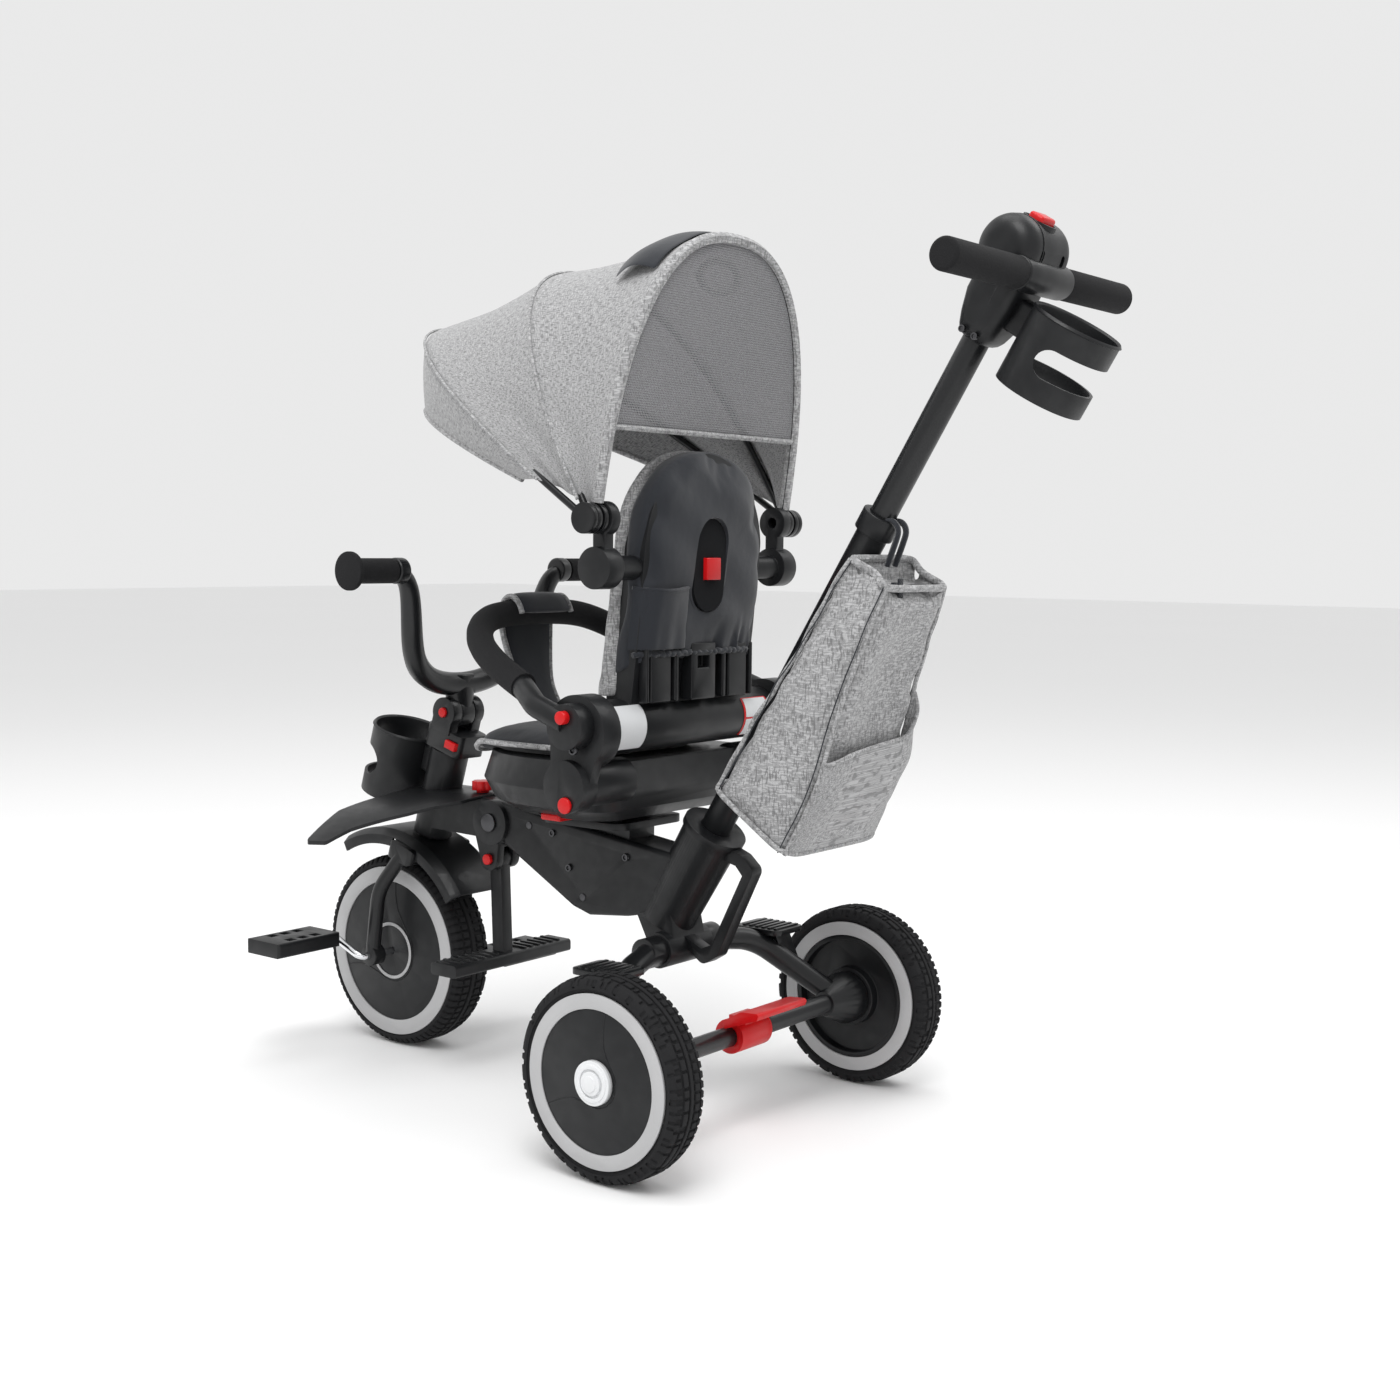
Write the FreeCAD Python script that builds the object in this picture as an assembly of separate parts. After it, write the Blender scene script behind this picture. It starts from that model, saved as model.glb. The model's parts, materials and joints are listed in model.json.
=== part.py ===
"""Children's tricycle with a push bar, reclining seat and folding canopy.

Lengths are millimetres. +X points forward, +Y to the child's left and +Z up. While the parts are
drawn, X = 0 is the rear axle; save() then moves everything so that the origin is the middle of the
whole length, on the ground.
"""
import FreeCAD, Part
import math
import os
from FreeCAD import Placement, Rotation
from FreeCAD import Vector as V

# ---- driving dimensions --------------------------------------------------------------------------
GAP = 0.3                 # clearance between bodies that move past each other
RUN = 0.05                # radial running clearance of a shaft in its bore


REAR_TRACK = 452.0        # between the middles of the two rear tyres
REAR_WHEEL_D = 210.0
REAR_TYRE_W = 48.0
REAR_RING_IN = 73.0       # light ring on the rim, inner and outer radius
REAR_RING_OUT = 88.5
AXLE_ROD_R = 5.0
AXLE_TUBE_R = 11.0

WHEELBASE = 538.0
STEP_ABOVE_HUB = 182.5    # fold pivot above the front wheel's centre
FOLD_BEHIND_HUB = 179.0
FRONT_WHEEL_D = 241.0
FRONT_TYRE_W = 58.0
FRONT_RING_IN = 88.5
FRONT_RING_OUT = 107.0
CRANK_ROD_R = 4.5
CRANK_ARM = V(54.0, 0, 21.5)
PEDAL_LENGTH = 96.0
PEDAL_CHORD = 62.0
PEDAL_THICK = 18.0

STEER_RAKE = 16.6         # lean of the steering axis, degrees
STEERER_R = 15.0
HEAD_TUBE_WALL = 9.0
HEAD_TUBE_LENGTH = 112.0
HANDLEBAR_R = 9.5
HANDLEBAR_HALF = 213.0
BAR_RISE = 174.0          # grips above the handlebar hinge
CUP_BORE_R = 42.0         # front and rear cup rings
CUP_WALL = 3.5
REAR_CUP_TOP = 639.0      # along the push bar

FOLD_DISC_R = 27.0
KNUCKLE_HALF = 19.5       # half thickness of the front knuckle
BEAM_HALF = 28.0
PEG_HALF = 100.0

REAR_PIVOT = V(95, 0, 187)
LUG_HALF = 38.0

PUSH_LEAN = 31.5          # lean of the push bar, degrees
PUSH_BASE = V(33, 0, 344)
SLEEVE_WALL = 3.0
PUSH_TUBE_R = 14.0
SLEEVE_TOP = 380.0        # along the push bar from its base point
PUSH_TUBE_TOP = 600.0
PUSH_STROKE = 100.0
PUSH_GRIP_HALF = 177.0

SWIVEL_X = 195.0
SPIGOT_R = 22.0
SEAT_HALF = 150.0         # half width of the seat shell
SEAT_Z = 336.0            # underside of the seat shell
SEAT_HIGH = 67.0          # thickness of the seat shell
RECLINE = V(100, 0, 442)
BARREL_R = 29.0
BRACKET_THICK = 23.0
BACK_HALF = 102.0
BACK_TOP = 735.0
BAR_PIVOT = V(90, 0, 448)
BAR_R = 15.0

CANOPY_PIVOT = V(78, 0, 662)
BOW_R = 4.0
FABRIC = 2.5              # thickness of a canopy panel
# ---- sizes that follow from them -----------------------------------------------------------------
REAR_R = REAR_WHEEL_D / 2
FRONT_R = FRONT_WHEEL_D / 2
HUB = V(WHEELBASE, 0, FRONT_R)
REAR_HUB = V(0, 0, REAR_R)
SIDES = (1, -1)

HEAD_TUBE_R = STEERER_R + HEAD_TUBE_WALL
HEAD_TUBE_FROM = FRONT_R + 39.5     # along the steering axis, from the front wheel's centre
HEAD_TUBE_TO = HEAD_TUBE_FROM + HEAD_TUBE_LENGTH
HINGE_ALONG = HEAD_TUBE_TO + 50     # handlebar hinge, along the steering axis
FRONT_CUP_OUT = HEAD_TUBE_R + CUP_BORE_R + 10     # middle of the cup, from the steering axis
FOLD = HUB + V(-FOLD_BEHIND_HUB, 0, STEP_ABOVE_HUB)     # pivot of the front frame
FOOTREST = FOLD + V(16, 0, -48)
PLATFORM_TOP = FOLD.z + 29

SLEEVE_R = PUSH_TUBE_R + SLEEVE_WALL
REAR_CUP_OUT = CUP_BORE_R + 46      # middle of the cup, from the push bar's axis, clear of the grips

BRACKET_IN = SEAT_HALF + 15         # inner face of a side bracket
BRACKET_OUT = BRACKET_IN + BRACKET_THICK
CAP_FACE = BRACKET_OUT - 10         # outer face of a bracket's end cap
BARREL_HALF = BRACKET_IN - 17

POST_OUT = BACK_HALF + 56           # outer face of a canopy post
BOW_LAYER = 2 * BOW_R + 0.4         # each bow has its own layer, outside the one before
REAR_BOW = (99.7, 302.0, POST_OUT + BOW_LAYER / 2)     # angle above +X, reach of the crown, half width
MIDDLE_BOW = (60.5, 315.0, POST_OUT + BOW_LAYER * 1.5)
FRONT_BOW = (33.1, 414.0, POST_OUT + BOW_LAYER * 2.5)
VISOR_RIM = (20.9, 387.0, POST_OUT + BOW_LAYER * 2)


# ---- helpers -------------------------------------------------------------------------------------
def save(name, shape):
    """Write one node, moved to the part's own origin."""
    moved = shape.copy()
    moved.translate(V(-ORIGIN_X, 0, 0))
    moved.exportStep("parts/" + name + ".step")


def box(x, y, z):
    """A box between pairs of limits."""
    return Part.makeBox(x[1] - x[0], y[1] - y[0], z[1] - z[0], V(x[0], y[0], z[0]))


def across(centre, radius, y_from, y_to):
    """A cylinder whose axis runs along Y through centre."""
    low, high = min(y_from, y_to), max(y_from, y_to)
    return Part.makeCylinder(radius, high - low, V(centre.x, low, centre.z), V(0, 1, 0))


def rod(start, end, radius):
    """A cylinder between two points."""
    return Part.makeCylinder(radius, (end - start).Length, start, end - start)


def slab(outline, y_from, y_to):
    """An outline of (x, z) points carried along Y."""
    points = [V(x, y_from, z) for x, z in outline]
    return Part.Face(Part.makePolygon(points + points[:1])).extrude(V(0, y_to - y_from, 0))


def upright(outline, z_from, z_to):
    """An outline of (x, y) points carried along Z."""
    points = [V(x, y, z_from) for x, y in outline]
    return Part.Face(Part.makePolygon(points + points[:1])).extrude(V(0, 0, z_to - z_from))


def fused(shapes):
    shapes = list(shapes)
    return shapes[0].multiFuse(shapes[1:]) if len(shapes) > 1 else shapes[0]


def pair(shape):
    """The shape and its mirror image on the other side."""
    return [shape, mirrored(shape)]


def mirrored(shape):
    return shape.mirror(V(0, 0, 0), V(0, 1, 0))


def rounded(shape, radius, wanted):
    """Fillet the edges that the test picks."""
    return shape.makeFillet(radius, [e for e in shape.Edges if wanted(e)])


def path(points, bends):
    """Straight runs joined by tangent arcs, one bend radius for each inner point."""
    edges = []
    start = points[0]
    for before, corner, after, bend in zip(points, points[1:], points[2:], bends):
        back = (before - corner).normalize()
        ahead = (after - corner).normalize()
        half = back.getAngle(ahead) / 2
        reach = bend / math.tan(half)
        middle = corner + (back + ahead).normalize() * (bend / math.sin(half) - bend)
        edges.append(Part.LineSegment(start, corner + back * reach).toShape())
        edges.append(Part.Arc(corner + back * reach, middle, corner + ahead * reach).toShape())
        start = corner + ahead * reach
    edges.append(Part.LineSegment(start, points[-1]).toShape())
    return edges


def bent(points, bends, radius):
    """A round bar along a bent path."""
    wire = Part.Wire(path(points, bends))
    ring = Part.Wire([Part.Circle(points[0], points[1] - points[0], radius).toShape()])
    return wire.makePipeShell([ring], True, False)


STEER = Placement(HUB, Rotation(V(0, 1, 0), -STEER_RAKE))
PUSH = Placement(PUSH_BASE, Rotation(V(0, 1, 0), -PUSH_LEAN))
REAR_END = PUSH.multVec(V(-REAR_CUP_OUT - CUP_BORE_R - CUP_WALL, 0, REAR_CUP_TOP)).x
ORIGIN_X = (WHEELBASE + FRONT_R + REAR_END) / 2


def on_steering(shape):
    """Place a shape drawn about +Z onto the steering axis, from the front wheel's centre."""
    placed = shape.copy()
    placed.Placement = STEER.multiply(placed.Placement)
    return placed


def on_push_bar(shape):
    """Place a shape drawn about +Z onto the push bar's axis."""
    placed = shape.copy()
    placed.Placement = PUSH.multiply(placed.Placement)
    return placed


def post(radius, low, high, x=0.0):
    """A cylinder about +Z."""
    return Part.makeCylinder(radius, high - low, V(x, 0, low))


def cup(x, low, high, ring_high, bore, wall, opening_from):
    """A cup holder about +Z: two rings, a floor rim and a wall on the side nearest the bar."""
    outer = bore + wall
    shell = post(outer, low, high, x).cut(post(bore, low + wall, high + 1, x))
    shell = shell.cut(post(bore * 0.6, low - 1, low + wall + 1, x))
    window = box((opening_from, x + outer + 1), (-outer - 1, outer + 1), (low + ring_high, high - ring_high))
    return shell.cut(window)


# ---- wheels --------------------------------------------------------------------------------------
def tyre(hub, radius, width, inner):
    body = across(hub, radius, hub.y - width / 2, hub.y + width / 2)
    body = body.makeFillet(width * 0.19, body.Edges[:1] + body.Edges[2:3])
    return body.cut(across(hub, inner, hub.y - width, hub.y + width))


def rings(hub, width, inner, outer):
    """Light rings let into both faces of a rim."""
    found = []
    for side in SIDES:
        face = across(hub, outer, hub.y + side * (width / 2 - 3), hub.y + side * width / 2)
        found.append(face.cut(across(hub, inner, hub.y - width, hub.y + width)))
    return found


def rim(hub, width, inner, outer):
    """The disc between the rings, and the seat of the tyre behind them."""
    seat = across(hub, outer, hub.y - width / 2 + 3, hub.y + width / 2 - 3)
    return seat.fuse(across(hub, inner, hub.y - width / 2 + 1, hub.y + width / 2 - 1))


def rear_wheel(side, label):
    hub = V(0, side * REAR_TRACK / 2, REAR_R)
    face = side * (REAR_TYRE_W / 2 - 1)
    rod_end = hub.y + side * (REAR_TYRE_W / 2 - 6)
    save("tyre_rear_" + label, tyre(hub, REAR_R, REAR_TYRE_W, REAR_RING_OUT))
    body = rim(hub, REAR_TYRE_W, REAR_RING_IN, REAR_RING_OUT)
    hollow = across(hub, REAR_RING_IN - 6, hub.y - face - side, hub.y - face + side * 12)
    body = body.cut(hollow.cut(across(hub, 34, hub.y - 50, hub.y + 50)))
    body = body.cut(across(hub, AXLE_ROD_R + RUN, hub.y - face - side, rod_end + side))
    save("rim_rear_" + label, body)
    cap = across(hub, 22.7, hub.y + face, hub.y + face + side * 3)
    dome = across(hub, 11.8, hub.y + face, hub.y + face + side * 6)
    dome = rounded(dome, 2.5, lambda e: abs(e.CenterOfMass.y) > abs(hub.y + face) + 5)
    save("trim_rear_" + label, Part.makeCompound(rings(hub, REAR_TYRE_W, REAR_RING_IN, REAR_RING_OUT)
                                                 + [cap.fuse(dome)]))


def front_wheel():
    save("tyre_front", tyre(HUB, FRONT_R, FRONT_TYRE_W, FRONT_RING_OUT))
    bar = crank()
    face = FRONT_TYRE_W / 2 - 1
    hub_rings = [across(HUB, 36, s * face, s * (face + 1.5)).cut(across(HUB, 32, -face * 2, face * 2))
                 for s in SIDES]
    save("rim_front", rim(HUB, FRONT_TYRE_W, FRONT_RING_IN, FRONT_RING_OUT).cut(bar))
    save("trim_front", Part.makeCompound(rings(HUB, FRONT_TYRE_W, FRONT_RING_IN, FRONT_RING_OUT)
                                         + hub_rings))
    save("crank", bar)


CRANK_HALF = FRONT_TYRE_W / 2 + 51     # middle of a crank arm, from the wheel's middle plane
PEDAL_FROM = CRANK_HALF + 12


def crank():
    """One bent chrome bar: axle, two arms and two pedal spindles."""
    arm = V(0, CRANK_HALF, 0)
    end = V(0, PEDAL_FROM + PEDAL_LENGTH - 6, 0)
    left = [HUB + arm, HUB + arm + CRANK_ARM, HUB + end + CRANK_ARM]
    right = [HUB - end - CRANK_ARM, HUB - arm - CRANK_ARM, HUB - arm]
    return bent(right + left, [10.0] * 4, CRANK_ROD_R)


def pedal(side, label):
    spindle = HUB + CRANK_ARM * side
    half = PEDAL_CHORD / 2
    y = (side * PEDAL_FROM, side * (PEDAL_FROM + PEDAL_LENGTH))
    block = box((spindle.x - half, spindle.x + half), (min(y), max(y)),
                (spindle.z - PEDAL_THICK / 2, spindle.z + PEDAL_THICK / 2))
    block = rounded(block, 4, lambda e: abs(abs(e.CenterOfMass.x - spindle.x) - half) < 0.1)
    step = PEDAL_LENGTH / 5
    for row in (-1, 1):
        for k in (1, 2, 3):
            middle = side * (PEDAL_FROM + step * (k + 0.5))
            x = spindle.x + row * half * 0.55
            block = block.cut(box((x - 6, x + 6), (middle - 6, middle + 6),
                                  (spindle.z - PEDAL_THICK, spindle.z + PEDAL_THICK)))
    bore_end = side * (PEDAL_FROM + PEDAL_LENGTH - 5)
    save("pedal_" + label, block.cut(across(spindle, CRANK_ROD_R + RUN, 0, bore_end)))


# ---- rear axle -----------------------------------------------------------------------------------
HOUSING_END = REAR_TRACK / 2 - REAR_TYRE_W / 2 - 1.5


def rear_axle():
    tube = across(REAR_HUB, AXLE_TUBE_R, -HOUSING_END + 40, HOUSING_END - 40)
    pin = across(REAR_PIVOT, 8, -LUG_HALF - 24, LUG_HALF + 24)
    pieces = [tube, pin]
    for side in SIDES:
        inner = V(0, side * (HOUSING_END - 48), REAR_R)
        taper = Part.makeCone(AXLE_TUBE_R + 3, 30, 36, inner, V(0, side, 0))
        ball = across(REAR_HUB, 30, side * (HOUSING_END - 12), side * HOUSING_END)
        disc = across(REAR_PIVOT, 17, side * (LUG_HALF + GAP), side * (LUG_HALF + 24))
        leg = bent([V(REAR_PIVOT.x, side * (LUG_HALF + 12), REAR_PIVOT.z),
                    V(76, side * (LUG_HALF + 78), 178),
                    V(4, side * (HOUSING_END - 26), REAR_R + 8)], [60.0], 13)
        pieces += [taper, ball, disc, leg]
    frame = fused(pieces).cut(across(REAR_HUB, AXLE_ROD_R, -REAR_TRACK, REAR_TRACK))
    end = REAR_TRACK / 2 + REAR_TYRE_W / 2 - 6
    save("axle_rod", across(REAR_HUB, AXLE_ROD_R, -end, end))
    return frame


def step_pads(axle_frame):
    middle = HOUSING_END - 56
    plate = box((42, 106), (middle - 27, middle + 27), (184, 190))
    plate = rounded(plate, 10, lambda e: abs(e.Vertexes[0].Z - e.Vertexes[-1].Z) > 1)
    ribs = [box((48 + 9 * k, 52 + 9 * k), (middle - 22, middle + 22), (190, 192)) for k in range(6)]
    foot = slab([(56, 185), (92, 185), (62, 150), (30, 130)], middle - 14, middle + 14)
    left = fused([plate, foot] + ribs).cut(axle_frame)
    left = max(left.Solids, key=lambda s: s.Volume)
    save("rear_axle_frame", Part.makeCompound([axle_frame] + pair(left)))


def brake():
    clamp = across(REAR_HUB, AXLE_TUBE_R + 8, -24, 30)
    tread = slab([(-6, 118), (-50, 134), (-53, 142), (-28, 140), (-4, 126)], -42, 48)
    tread = rounded(tread, 3, lambda e: e.Length > 80)
    pedal_shape = clamp.fuse(tread).fuse(box((-14, 8), (-14, 20), (REAR_R, 126)))
    save("brake_pedal", pedal_shape.cut(across(REAR_HUB, AXLE_TUBE_R + RUN, -60, 60)))


# ---- steering ------------------------------------------------------------------------------------
LEG_Y = FRONT_TYRE_W / 2 + 31          # middle of a fork leg
CROWN_DEEP = 22.0
CROWN_TOP = 28.0                       # above the tyre


def fork():
    crown = box((-CROWN_DEEP, CROWN_DEEP), (-LEG_Y + 8, LEG_Y - 8), (FRONT_R + 6, FRONT_R + CROWN_TOP))
    crown = rounded(crown, 8, lambda e: abs(e.CenterOfMass.x) > CROWN_DEEP - 2)
    steerer = post(STEERER_R, FRONT_R + CROWN_TOP - 1, HEAD_TUBE_TO + 20)
    collar = box((-STEERER_R - 21, STEERER_R + 11), (-HEAD_TUBE_R, HEAD_TUBE_R),
                 (HEAD_TUBE_TO + 1.5, HEAD_TUBE_TO + 29))
    collar = rounded(collar, 9, lambda e: abs(e.CenterOfMass.z - HEAD_TUBE_TO - 15.25) < 1)
    leg = bent([V(0, LEG_Y - 18, FRONT_R + 17), V(13, LEG_Y, FRONT_R * 0.7), V(0, LEG_Y, 0)], [70.0], 9)
    end = across(V(0, 0, 0), 13, LEG_Y - 10, LEG_Y + 7)
    ear = across(V(0, 0, HINGE_ALONG), 18.5, 12, 26)
    web = box((-16, 16), (12, 26), (HEAD_TUBE_TO + 25, HINGE_ALONG))
    pin = across(V(0, 0, HINGE_ALONG), 5, -20, 16)
    body = fused([crown, steerer, collar, pin] + pair(leg) + pair(end) + pair(ear) + pair(web))
    body = body.cut(across(V(0, 0, 0), CRANK_ROD_R + 2 * RUN, -LEG_Y - 20, LEG_Y + 20))
    body = body.cut(across(V(0, 0, HINGE_ALONG), 6 + RUN, 17, 40))
    middle = -STEERER_R - 8
    body = body.cut(box((middle - 9 - GAP, middle + 9 + GAP), (-90, 90), lock_height(GAP)))
    lock = box((middle - 9, middle + 9), (-HEAD_TUBE_R - 4, HEAD_TUBE_R + 4), lock_height(0))
    save("steering_lock", on_steering(lock))
    save("handlebar_button", on_steering(across(V(0, 0, HINGE_ALONG), 6, 21.5, 29)))
    save("fork", on_steering(body))


def lock_height(grow):
    middle = HEAD_TUBE_TO + 15
    return (middle - 5 - grow, middle + 5 + grow)


def fender():
    """A guard arched over the front tyre, about the wheel's axle."""
    half = FRONT_TYRE_W / 2 + 16
    section = [(18, -half), (30, -half), (37.5, -half + 11), (37.5, half - 11), (30, half), (18, half),
               (18, half - 3.5), (28.5, half - 3.5), (34, half - 13), (34, -half + 13),
               (28.5, -half + 3.5), (18, -half + 3.5)]
    points = [V(HUB.x + FRONT_R + r, y, HUB.z) for r, y in section]
    face = Part.Face(Part.makePolygon(points + points[:1]))
    face.rotate(HUB, V(0, 1, 0), -62)
    arch = face.revolve(HUB, V(0, -1, 0), 84)
    crown = box((-CROWN_DEEP, CROWN_DEEP), (-LEG_Y, LEG_Y), (0, FRONT_R + CROWN_TOP))
    arch = arch.cut(on_steering(crown.fuse(post(STEERER_R, 0, 300))))
    save("front_fender", max(arch.Solids, key=lambda s: s.Volume))


def front_frame():
    tube = on_steering(post(HEAD_TUBE_R, HEAD_TUBE_FROM, HEAD_TUBE_TO))
    head = HUB + (STEER.Rotation.multVec(V(0, 0, 1))) * (HEAD_TUBE_FROM + 34)
    top = PLATFORM_TOP - 2
    arm = slab([(FOLD.x, FOLD.z + 26), (head.x, top), (head.x, FOLD.z - 20),
                (FOOTREST.x + 22, FOLD.z - 22), (FOOTREST.x + 14, FOOTREST.z),
                (FOOTREST.x - 14, FOOTREST.z), (FOLD.x, FOLD.z - 24)], -KNUCKLE_HALF, KNUCKLE_HALF)
    disc = across(FOLD, FOLD_DISC_R - 1, -KNUCKLE_HALF, KNUCKLE_HALF)
    eye = across(FOOTREST, 14, -KNUCKLE_HALF, KNUCKLE_HALF)
    slot = box((FOOTREST.x - 30, FOOTREST.x + 30), (-8.3, 8.3), (FOOTREST.z - 30, FOOTREST.z + 15.5))
    body = fused([tube, arm, disc, eye]).cut(slot)
    body = body.fuse(across(FOOTREST, 4, -12, 12))
    body = body.cut(on_steering(post(STEERER_R + RUN, 0, 500)))
    body = body.cut(across(FOLD, 6 + RUN, -60, 60))
    body = body.cut(across(FOOTREST, 6.5 + RUN, 12.5, 40))
    plate = foot_platform()
    save("front_knuckle", body.cut(plate))
    save("foot_platform", plate)
    save("footrest_lock", across(FOOTREST, 6.5, 16, 24))


PLATFORM_R = 345.0


def foot_platform():
    """A cambered, winged plate round the head tube."""
    centre = V(0, 0, PLATFORM_TOP - PLATFORM_R)
    bow = Part.makeCylinder(PLATFORM_R, 240, V(HUB.x - 180, 0, centre.z), V(1, 0, 0))
    bow = bow.cut(Part.makeCylinder(PLATFORM_R - 4, 260, V(HUB.x - 190, 0, centre.z), V(1, 0, 0)))
    half = [(-152, 0), (-150, 52), (-113, 104), (-64, 150), (-50, 176), (-18, 180), (-8, 120), (-32, 58),
            (-36, 0)]
    half = [(HUB.x + x, y) for x, y in half]
    outline = half + [(x, -y) for x, y in reversed(half[1:-1])]
    plan = upright(outline, PLATFORM_TOP - 80, PLATFORM_TOP + 10)
    plan = rounded(plan, 6, lambda e: abs(e.Vertexes[0].Z - e.Vertexes[-1].Z) > 1 and
                   abs(e.CenterOfMass.y) > 40)
    return bow.common(plan).cut(on_steering(post(HEAD_TUBE_R, 0, 500)))


KNOB_BASE = V(FOLD.x + 45, 0, PLATFORM_TOP + GAP)


def fold_knob():
    """A lobed knob that stands on the platform."""
    base = KNOB_BASE
    lobes = [Part.makeCylinder(6, 11, base + V(7.5 * math.cos(a), 7.5 * math.sin(a), 3))
             for a in (k * math.pi / 3 for k in range(6))]
    save("fold_knob", fused([Part.makeCylinder(8, 14, base)] + lobes))


def front_cup():
    top = HEAD_TUBE_TO - 2
    holder = cup(FRONT_CUP_OUT, top - 88, top, 15, CUP_BORE_R, CUP_WALL, FRONT_CUP_OUT - 16)
    arm = box((HEAD_TUBE_R - 4, FRONT_CUP_OUT - 34), (-12, 12), (top - 32, top - 2))
    arm = arm.cut(post(CUP_BORE_R, 0, 500, FRONT_CUP_OUT))
    whole = holder.fuse(arm).cut(post(HEAD_TUBE_R, 0, 500))
    save("front_cup_holder", on_steering(whole))


def footrest():
    eye = across(FOOTREST, 12.5, -8, 8)
    foot = FOOTREST + V(-5, 0, -120)
    stem = slab([(FOOTREST.x - 9, FOOTREST.z), (FOOTREST.x + 9, FOOTREST.z), (foot.x + 9, foot.z),
                 (foot.x - 9, foot.z)], -8, 8)
    pegs = box((foot.x - 21, foot.x + 21), (-PEG_HALF, PEG_HALF), (foot.z - 9, foot.z + 6))
    pegs = rounded(pegs, 4, lambda e: e.Length > PEG_HALF)
    ribs = [box((foot.x - 15, foot.x + 15), (s * (24 + 12 * k) - 2, s * (24 + 12 * k) + 2),
                (foot.z + 6, foot.z + 8)) for s in SIDES for k in range(6)]
    whole = fused([eye, stem, pegs] + ribs).cut(across(FOOTREST, 4 + RUN, -20, 20))
    save("footrest", whole)


def handlebar():
    hinge = V(0, 0, HINGE_ALONG)
    knuckle = fused([across(hinge, 18, -11.7, 11.7),
                     box((-12, 12), (-11.7, 11.7), (HINGE_ALONG, HINGE_ALONG + 32)),
                     box((-14, 14), (-17, 17), (HINGE_ALONG + 21, HINGE_ALONG + 43))])
    knuckle = on_steering(knuckle)
    low = STEER.multVec(V(0, 0, HINGE_ALONG + 36))
    high = STEER.multVec(V(0, 0, HINGE_ALONG)) + V(-42, 0, BAR_RISE)
    half = [V(high.x, HANDLEBAR_HALF - 2, high.z), V(high.x, 128, high.z),
            V(high.x + 14, 108, high.z - 83), V(low.x, 42, low.z)]
    points = half + [V(p.x, -p.y, p.z) for p in reversed(half)]
    bar = bent(points, [18, 60, 40, 40, 60, 18], HANDLEBAR_R)
    whole = knuckle.fuse(bar).cut(on_steering(across(hinge, 5 + RUN, -40, 40)))
    save("handlebar", whole)
    grips = []
    for side in SIDES:
        body = across(high, HANDLEBAR_R + 5, side * 147, side * (HANDLEBAR_HALF - 5))
        flange = across(high, HANDLEBAR_R + 12.5, side * (HANDLEBAR_HALF - 6), side * HANDLEBAR_HALF)
        core = across(high, HANDLEBAR_R, side * 100, side * (HANDLEBAR_HALF - 2))
        grips.append(body.fuse(flange).cut(core))
    save("handlebar_grips", Part.makeCompound(grips))


# ---- main frame ----------------------------------------------------------------------------------
def canister():
    """The tapered housing that holds the push bar, with the lug of the rear pivot."""
    axis = PUSH.Rotation.multVec(V(0, 0, 1))
    low = PUSH_BASE - axis * 150
    body = Part.makeCone(31, 34, 129, low, axis)
    collar = Part.makeCylinder(36.5, 8, PUSH_BASE - axis * 29, axis)
    lug = across(REAR_PIVOT, 20, -LUG_HALF, LUG_HALF)
    web = slab([(REAR_PIVOT.x - 19, REAR_PIVOT.z - 3), (REAR_PIVOT.x + 19, REAR_PIVOT.z - 3),
                (low.x + 24, low.z + 8), (low.x - 24, low.z + 16)], -27, 27)
    return fused([body, collar, lug, web])


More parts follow.
